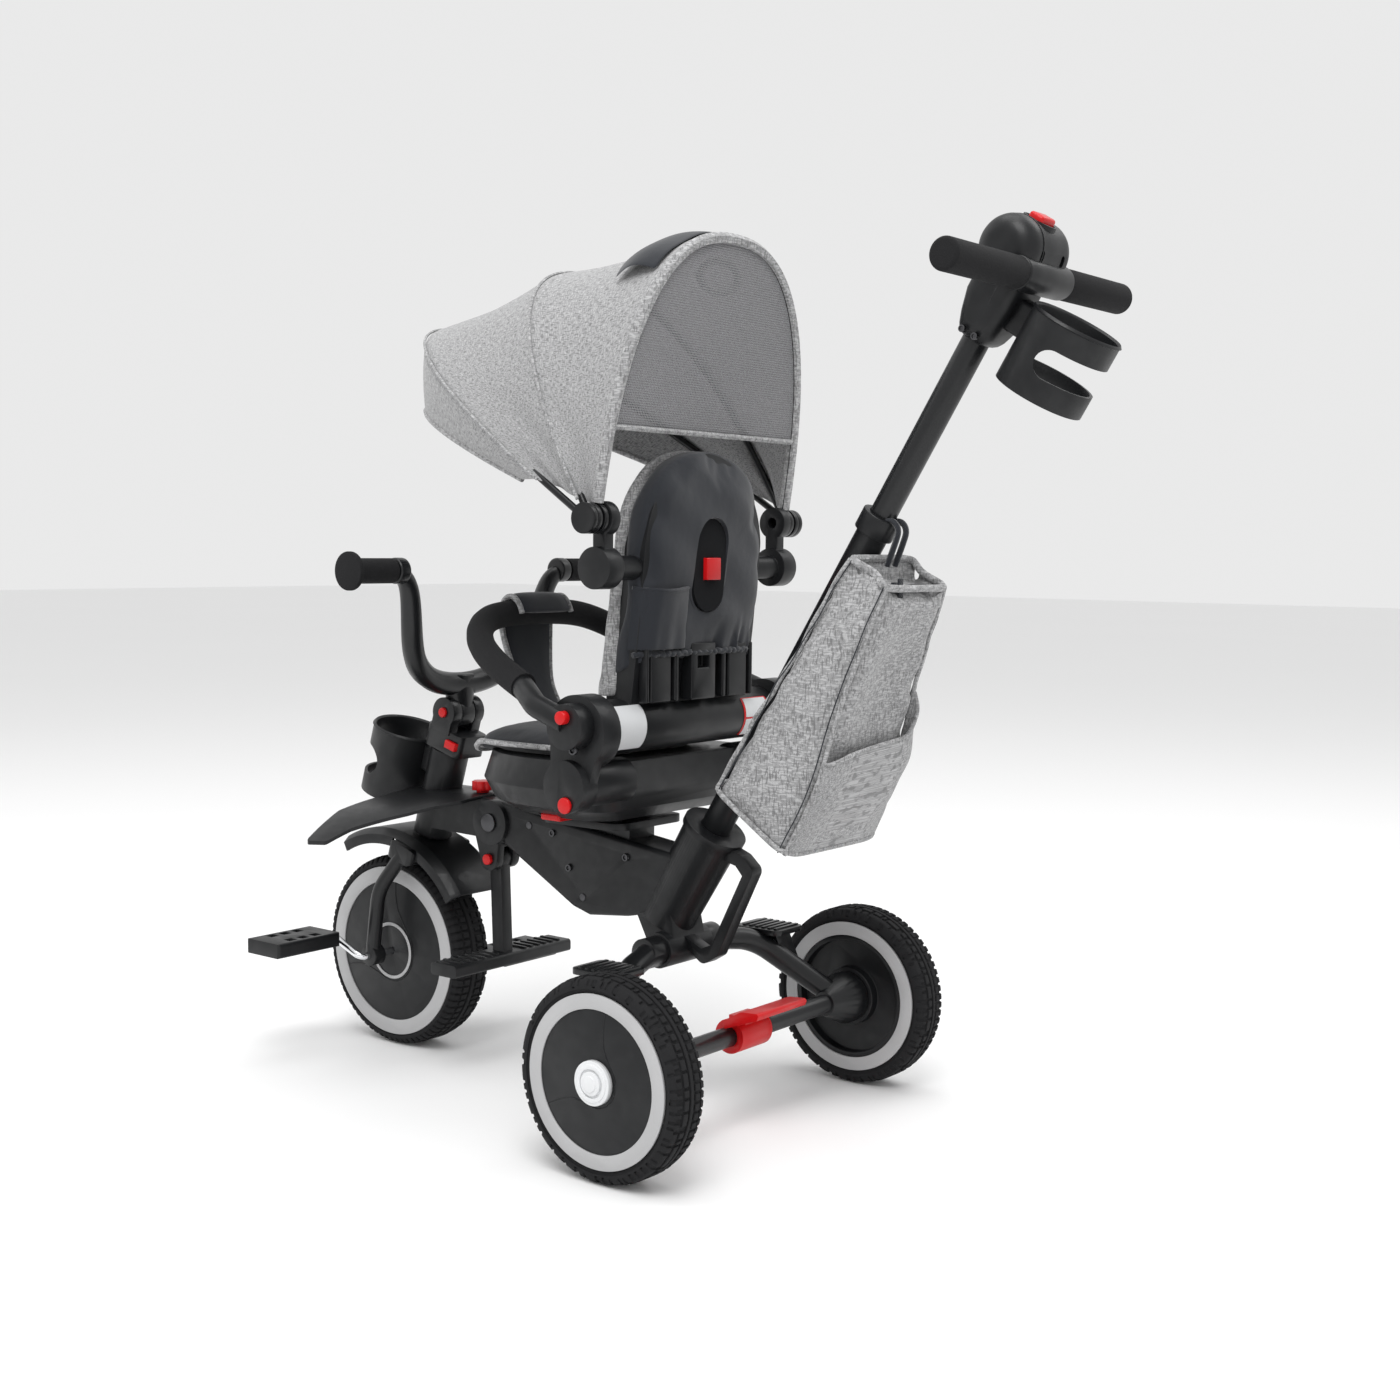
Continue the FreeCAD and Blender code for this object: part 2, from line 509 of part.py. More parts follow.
def main_frame():
    can = canister()
    sleeve = on_push_bar(post(SLEEVE_R, -110, SLEEVE_TOP))
    top_ring = on_push_bar(post(SLEEVE_R + 4, SLEEVE_TOP - 22, SLEEVE_TOP))
    housing = can.cut(sleeve).cut(across(REAR_PIVOT, 8 + RUN, -60, 60))
    save("rear_housing", housing)
    bore = on_push_bar(post(PUSH_TUBE_R + RUN, -106, SLEEVE_TOP + 1))
    save("push_sleeve", sleeve.fuse(top_ring).cut(bore))

    loop = slab([(44, 316), (2, 300), (-15, 285), (34, 184), (54, 172), (96, 200)], -9, 9)
    loop = rounded(loop, 9, lambda e: abs(e.Vertexes[0].Y - e.Vertexes[-1].Y) > 1 and
                   e.CenterOfMass.x < 60 and e.CenterOfMass.x > -20)
    hole = slab([(60, 300), (10, 288), (1, 278), (42, 196), (56, 190), (110, 214)], -20, 20)
    loop = loop.cut(hole).cut(can)
    save("grab_handle", max(loop.Solids, key=lambda s: s.Volume))

    beam = slab([(FOLD.x - 7, FOLD.z + 26), (60, 292), (105, 226), (150, 216), (207, 210),
                 (232, 217), (FOLD.x - 14, FOLD.z - 24)], -BEAM_HALF, BEAM_HALF)
    beam = rounded(beam, 6, lambda e: abs(e.CenterOfMass.y) > BEAM_HALF - 1 and e.CenterOfMass.x > 110)
    cheek_out = BEAM_HALF + 7
    room = KNUCKLE_HALF + 0.7
    cheeks = [across(FOLD, FOLD_DISC_R, s * (KNUCKLE_HALF + 1), s * cheek_out) for s in SIDES]
    beam = fused([beam] + cheeks)
    beam = beam.cut(box((FOLD.x - 59, FOLD.x + 40), (-room, room), (FOLD.z - 150, FOLD.z + 100)))
    beam = beam.cut(can)
    pivot = across(FOLD, 6, -cheek_out - 3, cheek_out + 3)
    ends = [across(FOLD, 11, side * cheek_out, side * (cheek_out + 3)) for side in SIDES]
    spots = [V(150, 0, 284), FOLD + V(-59, 0, 2), V(215, 0, 230)]
    heads = [across(at, 4.5, side * (BEAM_HALF - 6), side * (BEAM_HALF + 1)) for at in spots for side in SIDES]
    bolts = Part.makeCompound([fused([pivot] + ends)] + heads)
    beam = beam.cut(bolts)
    save("frame_screws", bolts)

    plate = box((SWIVEL_X - 62, SWIVEL_X + 62), (-60, 60), (SEAT_Z - 18, SEAT_Z - 10))
    plate = rounded(plate, 20, lambda e: abs(e.Vertexes[0].Z - e.Vertexes[-1].Z) > 1)
    leg = box((SWIVEL_X - 45, SWIVEL_X + 45), (-22, 22), (280, SEAT_Z - 17))
    spigot = Part.makeCylinder(SPIGOT_R, 10, V(SWIVEL_X, 0, SEAT_Z - 11))
    base = fused([plate, leg, spigot]).cut(beam).cut(bolts)
    save("main_beam", Part.makeCompound([beam, max(base.Solids, key=lambda s: s.Volume)]))


def bag():
    """The storage bag that hangs on the push bar, with the strap that carries it."""
    def section(z, front, rear, half):
        points = [V(front, half, z[0]), V(rear, half, z[1]), V(rear, -half, z[1]), V(front, -half, z[0])]
        return Part.makePolygon(points + points[:1])
    body = Part.makeLoft([section((640, 592), -122, -206, 62), section((500, 455), -62, -178, 76),
                          section((386, 322), -8, -140, 88)], True, True)
    strap = on_push_bar(post(SLEEVE_R + 3, SLEEVE_TOP - 50, SLEEVE_TOP - 30).cut(post(SLEEVE_R, 0, SLEEVE_TOP)))
    body = body.cut(on_push_bar(post(SLEEVE_R + 1, 0, SLEEVE_TOP)))
    body = body.cut(on_push_bar(post(SLEEVE_R + 4, SLEEVE_TOP - 51, SLEEVE_TOP)))
    save("bag", Part.makeCompound([max(body.Solids, key=lambda s: s.Volume), strap]))


# ---- seat ----------------------------------------------------------------------------------------
def seat_outline(z, rear, half, corner):
    """Square at the back with rounded corners, a half circle about the swivel at the front."""
    middle = SWIVEL_X - 5
    turn = corner * (1 - math.sqrt(0.5))
    bow = half * math.sqrt(0.5)
    points = [V(rear, -half + corner, z), V(rear, half - corner, z), V(rear + corner, half, z),
              V(middle, half, z), V(middle, -half, z), V(rear + corner, -half, z)]
    edges = [Part.LineSegment(points[0], points[1]).toShape(),
             Part.Arc(points[1], V(rear + turn, half - turn, z), points[2]).toShape(),
             Part.LineSegment(points[2], points[3]).toShape(),
             Part.Arc(points[3], V(middle + bow, bow, z), V(middle + half, 0, z)).toShape(),
             Part.Arc(V(middle + half, 0, z), V(middle + bow, -bow, z), points[4]).toShape(),
             Part.LineSegment(points[4], points[5]).toShape(),
             Part.Arc(points[5], V(rear + turn, -half + turn, z), points[0]).toShape()]
    return Part.Wire(edges)


BOSS = V(100, 0, 384)
SIDE_BUTTON = V(97, 0, 365)


def seat_shell():
    body = Part.makeLoft([seat_outline(SEAT_Z, 112, SEAT_HALF - 38, 36),
                          seat_outline(SEAT_Z + 14, 94, SEAT_HALF - 12, 38),
                          seat_outline(SEAT_Z + 36, 86, SEAT_HALF, 40),
                          seat_outline(SEAT_Z + SEAT_HIGH, 92, SEAT_HALF - 10, 40)], True, True)
    hub = Part.makeCylinder(46, 14, V(SWIVEL_X, 0, SEAT_Z - 10 + GAP))
    ears = [across(BOSS, 24, side * (BRACKET_IN - 69), side * BRACKET_IN) for side in SIDES]
    body = fused([body, hub] + ears)
    body = body.cut(Part.makeCylinder(SPIGOT_R + RUN, 11 + GAP, V(SWIVEL_X, 0, SEAT_Z - 11)))
    pocket = box((SWIVEL_X - 23 - GAP, SWIVEL_X + 5 + GAP), (SEAT_HALF - 66, SEAT_HALF + 20),
                 (SEAT_Z - 20, SEAT_Z + 4 + GAP))
    body = body.cut(pocket)
    save("seat_shell", body)
    tab = box((SWIVEL_X - 23, SWIVEL_X + 5), (SEAT_HALF - 58, SEAT_HALF - 34), (SEAT_Z - 4, SEAT_Z + 4))
    save("swivel_tab", rounded(tab, 3, lambda e: abs(e.CenterOfMass.y - SEAT_HALF + 34) < 1))

    left = fused([across(BOSS, 28, BRACKET_IN, BRACKET_OUT),
                  slab([(74, 384), (126, 384), (128, 436), (58, 436)], BRACKET_IN, CAP_FACE),
                  across(V(92, 0, 441), 39, BARREL_HALF + 2.5, CAP_FACE),
                  across(RECLINE, 12, BARREL_HALF - 10, BARREL_HALF + 10)])
    left = left.cut(across(SIDE_BUTTON, 8.5 + GAP, BRACKET_OUT - 9, BRACKET_OUT + 20))
    left = left.cut(across(BAR_PIVOT, 7 + RUN, CAP_FACE - 8, CAP_FACE + 10)).cut(body)
    save("side_brackets", Part.makeCompound(pair(left)))
    for side, label in ((1, "left"), (-1, "right")):
        save("side_button_" + label, across(SIDE_BUTTON, 8.5, side * (BRACKET_OUT - 5), side * (BRACKET_OUT + 3)))
    top = SEAT_Z + SEAT_HIGH
    cushion = Part.makeLoft([seat_outline(top, 134, SEAT_HALF - 30, 30),
                             seat_outline(top + 10, 132, SEAT_HALF - 24, 34),
                             seat_outline(top + 22, 140, SEAT_HALF - 40, 30)], True, True)
    save("seat_cushion", cushion)


def back_outline(z_low, half, top, x=(20, 160)):
    """Seen from behind: straight sides that draw in to a round top, carried along X."""
    knee = top - half * 1.1
    points = [V(x[0], -half, z_low), V(x[0], -half, knee), V(x[0], 0, top), V(x[0], half, knee),
              V(x[0], half, z_low)]
    bow = [V(x[0], half * math.cos(a), knee + (top - knee) * math.sin(a))
           for a in (math.pi * k / 4 for k in range(5))]
    edges = [Part.LineSegment(points[4], points[3]).toShape(),
             Part.Arc(bow[0], bow[1], bow[2]).toShape(), Part.Arc(bow[2], bow[3], bow[4]).toShape(),
             Part.LineSegment(points[1], points[0]).toShape(),
             Part.LineSegment(points[0], points[4]).toShape()]
    return Part.Face(Part.Wire(edges)).extrude(V(x[1] - x[0], 0, 0))


def seat_back():
    profile = [(84, 448), (118, 448), (112, 530), (96, 640), (80, BACK_TOP + 9), (58, BACK_TOP + 9),
               (62, 640), (72, 540)]
    plate = slab(profile, -BACK_HALF, BACK_HALF).common(back_outline(430, BACK_HALF, BACK_TOP))
    window = box((20, 160), (-16, 16), (486, 508))
    barrel = across(RECLINE, BARREL_R, -BARREL_HALF, BARREL_HALF)
    body = barrel.fuse(plate).cut(window)
    for side in SIDES:
        body = body.cut(across(RECLINE, 12 + RUN, side * (BARREL_HALF - 12), side * (BARREL_HALF + 5)))
    save("back_shell", body)

    wide = [(66, 526), (64, 640), (50, BACK_TOP + 20), (96, BACK_TOP + 20), (122, 640), (136, 530),
            (138, 474), (113.5, 474), (112.5, 526)]
    cover = slab(wide, -120, 120).common(back_outline(440, BACK_HALF + 9, BACK_TOP + 6))
    cover = cover.cut(plate)
    opening = box((30, 84), (-24, 24), (572, 652))
    posts, shafts = canopy_posts()
    cover = cover.cut(opening).cut(shafts)
    save("back_cover", max(cover.Solids, key=lambda s: s.Volume))
    save("canopy_posts", posts.cut(plate))
    lever = box((50, 64), (-12, 12), (598, 622)).cut(plate)
    lever = max(lever.Solids, key=lambda s: s.Volume)
    lever.translate(V(-GAP, 0, 0))
    save("recline_lever", lever)


POST_LOW = V(79, 0, 611)


def canopy_posts():
    """An arm on each side of the backrest, from its low knob to the canopy's pivot."""
    shaft = across(POST_LOW, 13, BACK_HALF - 6, POST_OUT - 14)
    left = fused([shaft, across(POST_LOW, 22, POST_OUT - 16, POST_OUT + 8),
                  box((70, 87), (POST_OUT - 13, POST_OUT), (POST_LOW.z, CANOPY_PIVOT.z)),
                  across(CANOPY_PIVOT, 18, POST_OUT - 13, POST_OUT)])
    left = left.cut(across(CANOPY_PIVOT, 6 + RUN, POST_OUT - 20, POST_OUT + 1))
    return Part.makeCompound(pair(left)), fused(pair(shaft))


BAR_BUTTON = V(BAR_PIVOT.x - 1, 0, BAR_PIVOT.z + 10)


def safety_bar():
    face = CAP_FACE + GAP
    start = V(178, CAP_FACE - 8, 487)
    points = [start, V(262, CAP_FACE - 36, 514), V(312, CAP_FACE - 82, 548)]
    arm = bent([V(92, face + 13, 452), V(136, face + 13, 467), start], [30.0], 12.5)
    left = fused([across(BAR_PIVOT, 24, face, face + 20), arm, across(BAR_PIVOT, 7, face - 7, face + 4)])
    left = left.cut(across(BAR_BUTTON, 7 + RUN, face + 14, face + 40))
    bar = bent(points + [V(p.x, -p.y, p.z) for p in reversed(points)], [60, 50, 50, 60], BAR_R)
    left = left.cut(bar)
    save("bar_sockets", Part.makeCompound(pair(left)))
    save("safety_bar", bar)
    for side, label in ((1, "left"), (-1, "right")):
        save("bar_button_" + label, across(BAR_BUTTON, 7, side * (face + 18), side * (face + 28)))
    front = points[2]
    pad = slab([(front.x - 22, front.z - 6), (front.x - 20, front.z + 26), (front.x + 20, front.z + 26),
                (front.x + 24, front.z - 10), (front.x + 16, 445), (front.x - 8, 440)], -32, 32)
    pad = rounded(pad, 6, lambda e: abs(e.Vertexes[0].Y - e.Vertexes[-1].Y) > 1)
    save("crotch_pad", pad.cut(bar))


# ---- canopy --------------------------------------------------------------------------------------
def arch(bow, grow, foot, tilt=0.0):
    """The wire of a bow: two legs and a rounded crown, in a plane through the canopy's pivot."""
    angle, reach, half = bow
    direction = V(math.cos(math.radians(angle + tilt)), 0, math.sin(math.radians(angle + tilt)))
    top = reach + grow
    wide = half + grow

    def at(along, y):
        return CANOPY_PIVOT + direction * along + V(0, y, 0)
    points = [at(foot, wide), at(top * 0.60, wide), at(top, wide * 0.50), at(top, -wide * 0.50),
              at(top * 0.60, -wide), at(foot, -wide)]
    return points, [top * 0.36, top * 0.24, top * 0.24, top * 0.36]


def bow_bar(bow):
    """A round bow with a pivot disc on each side."""
    points, bends = arch(bow, 0, 12)
    half = BOW_R - 0.5
    discs = [across(CANOPY_PIVOT, 16, side * (bow[2] - half), side * (bow[2] + half)) for side in SIDES]
    return fused([bent(points, bends, BOW_R)] + discs)


def panel(bow_a, bow_b, foot_a, foot_b):
    """Fabric between two bows, as a shell just outside them."""
    def solid(grow, drop):
        wires = []
        for bow, foot, tilt in ((bow_a, foot_a, -0.15), (bow_b, foot_b, 0.15)):
            points, bends = arch(bow, grow, foot - drop, tilt)
            edges = path(points, bends)
            edges.append(Part.LineSegment(points[-1], points[0]).toShape())
            wires.append(Part.Wire(edges))
        return Part.makeLoft(wires, True, True)
    inner = BOW_R + 1
    return solid(inner + FABRIC, 0).cut(solid(inner, 14))


def canopy():
    pins = [across(CANOPY_PIVOT, 6, side * (POST_OUT - 10), side * (POST_OUT + 3)) for side in SIDES]
    save("rear_bow", fused([bow_bar(REAR_BOW)] + pins))
    save("middle_bow", bow_bar(MIDDLE_BOW))
    save("front_bow", bow_bar(FRONT_BOW))
    save("canopy_roof", panel(REAR_BOW, MIDDLE_BOW, 26, 40))
    save("canopy_middle", panel(MIDDLE_BOW, FRONT_BOW, 40, 80))
    save("canopy_visor", panel(FRONT_BOW, VISOR_RIM, 80, 110))

    points, bends = arch(REAR_BOW, -BOW_R - GAP, 95)
    edges = path(points, bends)
    edges.append(Part.LineSegment(points[-1], points[0]).toShape())
    out = V(-math.sin(math.radians(REAR_BOW[0])), 0, math.cos(math.radians(REAR_BOW[0])))
    mesh = Part.Face(Part.Wire(edges)).extrude(out * FABRIC)
    save("canopy_mesh", mesh)


# ---- push handle ---------------------------------------------------------------------------------
GRIP_AXIS = V(-334, 0, 890.6)
KNOB_ALONG = 672.0


def push_handle():
    tube = on_push_bar(post(PUSH_TUBE_R, SLEEVE_TOP - 170, PUSH_TUBE_TOP))
    save("push_tube", tube)
    head = across(V(0, 0, KNOB_ALONG), 31, -42, 42)
    head = head.makeFillet(18, [e for e in head.Edges if abs(e.CenterOfMass.y) > 41])
    neck = post(25, PUSH_TUBE_TOP - 22, KNOB_ALONG)
    body = on_push_bar(head.fuse(neck))
    bar = across(GRIP_AXIS, 17, -44, 44).fuse(across(GRIP_AXIS, 9, -PUSH_GRIP_HALF + 8, PUSH_GRIP_HALF - 8))
    body = body.fuse(bar).cut(tube)
    body = body.cut(on_push_bar(post(10 + RUN, KNOB_ALONG + 22, KNOB_ALONG + 60)))
    save("push_housing", body)
    save("push_button", on_push_bar(post(10, KNOB_ALONG + 27, KNOB_ALONG + 37)))
    grips = []
    for side in SIDES:
        grip = across(GRIP_AXIS, 15.5, side * 44, side * PUSH_GRIP_HALF)
        grip = grip.makeFillet(4, [e for e in grip.Edges if abs(e.CenterOfMass.y) > PUSH_GRIP_HALF - 1])
        grips.append(grip.cut(across(GRIP_AXIS, 9, side * 20, side * (PUSH_GRIP_HALF - 8))))
    save("push_grips", Part.makeCompound(grips))
    holder = cup(REAR_CUP_OUT, REAR_CUP_TOP - 75, REAR_CUP_TOP, 18, CUP_BORE_R, CUP_WALL, 58)
    holder.rotate(V(0, 0, 0), V(0, 0, 1), 180)
    arm = box((-REAR_CUP_OUT + CUP_BORE_R - 10, -20), (-12, 12), (600, 630))
    arm = arm.cut(post(CUP_BORE_R, 500, 700, -REAR_CUP_OUT))
    holder = on_push_bar(holder.fuse(arm)).cut(body)
    save("rear_cup_holder", max(holder.Solids, key=lambda s: s.Volume))


# ---- build ---------------------------------------------------------------------------------------
os.makedirs("parts", exist_ok=True)
rear_wheel(1, "left")
rear_wheel(-1, "right")
front_wheel()
pedal(1, "left")
pedal(-1, "right")
axle_frame = rear_axle()
step_pads(axle_frame)
brake()
fork()
fender()
front_frame()
fold_knob()
front_cup()
footrest()
handlebar()
main_frame()
bag()
seat_shell()
seat_back()
safety_bar()
canopy()
push_handle()
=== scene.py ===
"""A child's tricycle with a canopy, a push bar, a bag and a folding frame, dressed for a picture."""
import json
import math

import bpy
from mathutils import Matrix, Vector
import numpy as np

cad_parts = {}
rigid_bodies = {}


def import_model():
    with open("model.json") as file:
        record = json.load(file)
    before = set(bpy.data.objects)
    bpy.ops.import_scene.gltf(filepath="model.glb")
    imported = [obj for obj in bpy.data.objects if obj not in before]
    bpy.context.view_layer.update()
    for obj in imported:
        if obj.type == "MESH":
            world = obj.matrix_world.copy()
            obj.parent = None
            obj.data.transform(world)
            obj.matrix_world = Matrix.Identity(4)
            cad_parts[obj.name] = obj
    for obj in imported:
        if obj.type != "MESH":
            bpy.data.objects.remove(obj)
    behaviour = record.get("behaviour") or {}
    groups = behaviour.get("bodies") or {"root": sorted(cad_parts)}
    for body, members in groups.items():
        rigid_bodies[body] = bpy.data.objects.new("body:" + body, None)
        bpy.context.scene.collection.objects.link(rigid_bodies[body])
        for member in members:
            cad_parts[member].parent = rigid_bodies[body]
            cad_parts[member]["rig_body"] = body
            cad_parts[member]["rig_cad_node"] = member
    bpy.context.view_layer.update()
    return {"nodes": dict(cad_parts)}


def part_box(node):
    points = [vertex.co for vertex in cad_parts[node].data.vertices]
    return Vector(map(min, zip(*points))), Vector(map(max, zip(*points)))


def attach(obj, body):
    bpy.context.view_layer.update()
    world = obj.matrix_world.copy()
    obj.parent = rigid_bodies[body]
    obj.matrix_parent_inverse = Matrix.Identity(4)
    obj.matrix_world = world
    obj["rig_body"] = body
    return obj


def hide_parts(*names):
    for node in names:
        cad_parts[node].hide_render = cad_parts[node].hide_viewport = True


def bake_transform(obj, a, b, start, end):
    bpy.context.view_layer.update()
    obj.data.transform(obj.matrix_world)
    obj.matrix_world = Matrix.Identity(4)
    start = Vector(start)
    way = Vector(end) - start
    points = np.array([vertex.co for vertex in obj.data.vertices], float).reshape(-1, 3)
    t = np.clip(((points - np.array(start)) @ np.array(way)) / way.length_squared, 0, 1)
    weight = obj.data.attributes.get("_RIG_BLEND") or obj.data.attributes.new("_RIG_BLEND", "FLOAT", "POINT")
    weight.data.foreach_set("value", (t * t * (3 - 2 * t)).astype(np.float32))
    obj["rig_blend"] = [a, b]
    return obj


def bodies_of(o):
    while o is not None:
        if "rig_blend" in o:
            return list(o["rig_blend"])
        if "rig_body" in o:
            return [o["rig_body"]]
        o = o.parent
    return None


bl_info = {
    "name": "Child's Tricycle",
    "version": (1, 0, 0),
    "blender": (4, 5, 0),
    "location": "3D View > Sidebar > Tricycle",
    "description": "Wheels, canopy, covers, bag and finishes of a child's tricycle on its packed frame",
    "category": "Object",
}

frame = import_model()
NODES = frame["nodes"]


# ---- places --------------------------------------------------------------------------------------
def middle(node):
    """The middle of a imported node's box."""
    low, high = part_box(node)
    return (low + high) / 2


AXLE = Vector((middle("tyre_rear_left").x, 0, 0))     # on the ground, under the rear axle
REAR_HUB = Vector((middle("tyre_rear_left").x, 0, middle("tyre_rear_left").z))
FRONT_HUB = Vector((middle("tyre_front").x, 0, middle("tyre_front").z))
RAKE = math.radians(16.6)          # the steering axis leans back
LEAN = math.radians(31.5)          # the push bar leans back


def at(x, y, z):
    """A point given in millimetres from the ground under the rear axle."""
    return AXLE + Vector((x, y, z)) / 1000


PUSH_BASE = at(33, 0, 344)
PUSH_UP = Vector((-math.sin(LEAN), 0, math.cos(LEAN)))
PUSH_OUT = Vector((math.cos(LEAN), 0, math.sin(LEAN)))      # square to the push bar, forwards
CANOPY_PIVOT = at(78, 0, 662)
REAR_CUP_REACH = -0.088            # a cup's middle, from the push bar's and from the steering axis
FRONT_CUP_REACH = 0.076
BARREL_AT = (100, 442)             # the recline barrel's axis, forwards and up, in millimetres
HEAD_HIGH = 0.672                  # the push head's axis, along the push bar


def on_push_bar(out, y, along):
    """A point by millimetres forwards of the push bar's axis, across, and along it."""
    return PUSH_BASE + (PUSH_OUT * out + PUSH_UP * along + Vector((0, y, 0))) / 1000


# ---- materials -----------------------------------------------------------------------------------
class Wire:
    """A number on its way through a material. A sum on it adds Math nodes."""

    def __init__(self, recipe, socket):
        self.recipe, self.socket = recipe, socket

    def maths(self, operation, *numbers):
        return self.recipe.add("Math", {"operation": operation}, dict(enumerate(numbers)))

    def __add__(self, other):
        return self.maths("ADD", self, other)

    def __sub__(self, other):
        return self.maths("SUBTRACT", self, other)

    def __rsub__(self, other):
        return self.maths("SUBTRACT", other, self)

    def __mul__(self, other):
        return self.maths("MULTIPLY", self, other)

    def __abs__(self):
        return self.maths("ABSOLUTE", self)

    def sine(self):
        return self.maths("SINE", self)

    def step(self, low, high):
        """0 below low, 1 above high, smooth between."""
        return self.recipe.add("MapRange", {"interpolation_type": "SMOOTHSTEP"},
                               {"Value": self, "From Min": low, "From Max": high})

    __radd__, __rmul__ = __add__, __mul__


class Recipe:
    """One material and the nodes in it."""

    def __init__(self, name):
        self.material = bpy.data.materials.new(name)
        self.material.use_nodes = True
        self.tree = self.material.node_tree
        self.shader = self.tree.nodes["Principled BSDF"]

    def add(self, kind, settings, sockets, out=0):
        """A node of that kind, its settings and what goes into its sockets; what comes out as a wire."""
        node = self.tree.nodes.new("ShaderNode" + kind)
        for name, value in settings.items():
            setattr(node, name, value)
        for name, value in sockets.items():
            self.set(node.inputs[name], value)
        return Wire(self, node.outputs[out])

    def set(self, socket, value):
        if isinstance(value, Wire):
            self.tree.links.new(value.socket, socket)
        else:
            socket.default_value = value

    def coat(self, **sockets):
        """What goes into the surface itself, such as base_color or roughness."""
        for name, value in sockets.items():
            self.set(self.shader.inputs[name.replace("_", " ").title().replace("Ior", "IOR")], value)

    def here(self, own_map=False):
        return self.add("TexCoord", {}, {}, "UV" if own_map else "Object")

    def stretched(self, scale, own_map=False):
        return self.add("Mapping", {"vector_type": "POINT"}, {"Vector": self.here(own_map), "Scale": scale})

    def noise(self, scale, detail=2.0, vector=None, roughness=0.5):
        return self.add("TexNoise", {}, {"Vector": vector or self.here(), "Scale": scale, "Detail": detail,
                                         "Roughness": roughness})

    def mix(self, share, first, second):
        return self.add("Mix", {"data_type": "RGBA"}, {0: share, 6: first, 7: second}, 2)

    def bump(self, height, depth, below=None):
        """height is from 0 to 1, and depth in metres."""
        sockets = {"Height": height, "Distance": depth, "Strength": 1.0}
        if below:
            sockets["Normal"] = below
        return self.add("Bump", {}, sockets)


def tone(colour, share):
    return (*[min(1.0, c * share) for c in colour[:3]], 1.0)


def moulded(name, colour, rough=0.42, grain=0.00005):
    """Moulded plastic: a fine spark-eroded grain, and a little unevenness in its gloss."""
    r = Recipe(name)
    cloud = r.noise(14.0, 3.0)
    fine = r.noise(900.0, 2.0)
    rub = r.noise(70.0, 4.0)
    r.coat(base_color=r.mix(cloud * 0.6 + fine * 0.3, tone(colour, 0.86), tone(colour, 1.12)),
           roughness=rough + (cloud - 0.5) * 0.12 + rub.step(0.6, 0.75) * 0.05,
           normal=r.bump(fine, grain), coat_weight=rub.step(0.35, 0.7) * 0.12, specular_ior_level=0.3)
    return r.material


def foam(name, colour, cell, depth, rough=0.85):
    """Closed-cell foam rubber: small round cells, and paler specks scattered through its colour."""
    r = Recipe(name)
    cells = r.add("TexVoronoi", {"feature": "F1"}, {"Vector": r.here(), "Scale": 1 / cell, "Randomness": 1.0})
    cloud = r.noise(30.0, 4.0)
    speck = r.noise(1.2 / cell, 3.0)
    r.coat(base_color=r.mix(cloud * 0.5 + speck.step(0.5, 0.72) * 0.5, tone(colour, 0.8), tone(colour, 1.5)),
           roughness=rough + (speck - 0.5) * 0.15, normal=r.bump(cells, depth, r.bump(cloud, 0.0004)),
           specular_ior_level=0.3)
    return r.material


def painted(name, colour):
    """Powder-coated tube: a soft orange-peel under a satin skin."""
    r = Recipe(name)
    peel = r.noise(420.0, 2.0)
    cloud = r.noise(22.0, 3.0)
    r.coat(base_color=r.mix(cloud, tone(colour, 0.9), tone(colour, 1.15)), coat_weight=peel * 0.25,
           roughness=0.35 + (cloud - 0.5) * 0.1, normal=r.bump(peel, 0.00006), specular_ior_level=0.34)
    return r.material


def metal(name, colour, rough, brushed):
    """Bare metal with fine lines drawn along it."""
    r = Recipe(name)
    lines = r.noise(160.0, 3.0, r.stretched((1.0, 14.0, 14.0)))
    cloud = r.noise(35.0, 3.0)
    r.coat(base_color=r.mix(cloud, tone(colour, 0.88), tone(colour, 1.05)), metallic=1.0,
           roughness=rough + (cloud - 0.4) * 0.08 + lines * brushed,
           normal=r.bump(lines, 0.00001 + 0.00004 * brushed))
    return r.material


def woven(name, colour, thread, melange, depth, own_map=False, wrinkle=0.0006):
    """Plain weave: threads over and under, and for a melange yarn paler and darker fibres along them."""
    r = Recipe(name)
    turn = math.pi / thread
    across = r.add("SeparateXYZ", {}, {0: r.here(own_map)})
    second, third = (Wire(r, across.socket.node.outputs[i]) for i in (1, 2))
    down = second if own_map else third
    side = across if own_map else across + second * 0.7
    weft = (side * turn).sine() * 0.5 + 0.5
    warp = (down * turn).sine() * 0.5 + 0.5
    cloth = weft * warp + (1 - weft) * (1 - warp)
    flecks = r.noise(340.0, 3.0, r.stretched((0.4, 2.2, 1.0) if own_map else (0.4, 0.4, 1.9), own_map))
    dark = r.noise(300.0, 3.0, r.stretched((2.0, 0.4, 1.0) if own_map else (1.7, 1.7, 0.4), own_map))
    cloud = r.noise(9.0, 3.0)
    base = r.mix(cloth * 0.45 + cloud * 0.4, tone(colour, 0.85), tone(colour, 1.14))
    if melange:
        base = r.mix(flecks.step(0.46, 0.6) * melange, base, tone(colour, 1.9))
        base = r.mix(dark.step(0.5, 0.62) * melange, base, tone(colour, 0.32))
    creases = r.bump(r.noise(26.0, 3.0, roughness=0.45), wrinkle)
    r.coat(base_color=base, roughness=0.86 + (cloth - 0.5) * 0.1, normal=r.bump(cloth, depth, creases),
           sheen_weight=0.25, sheen_roughness=0.5)
    return r.material


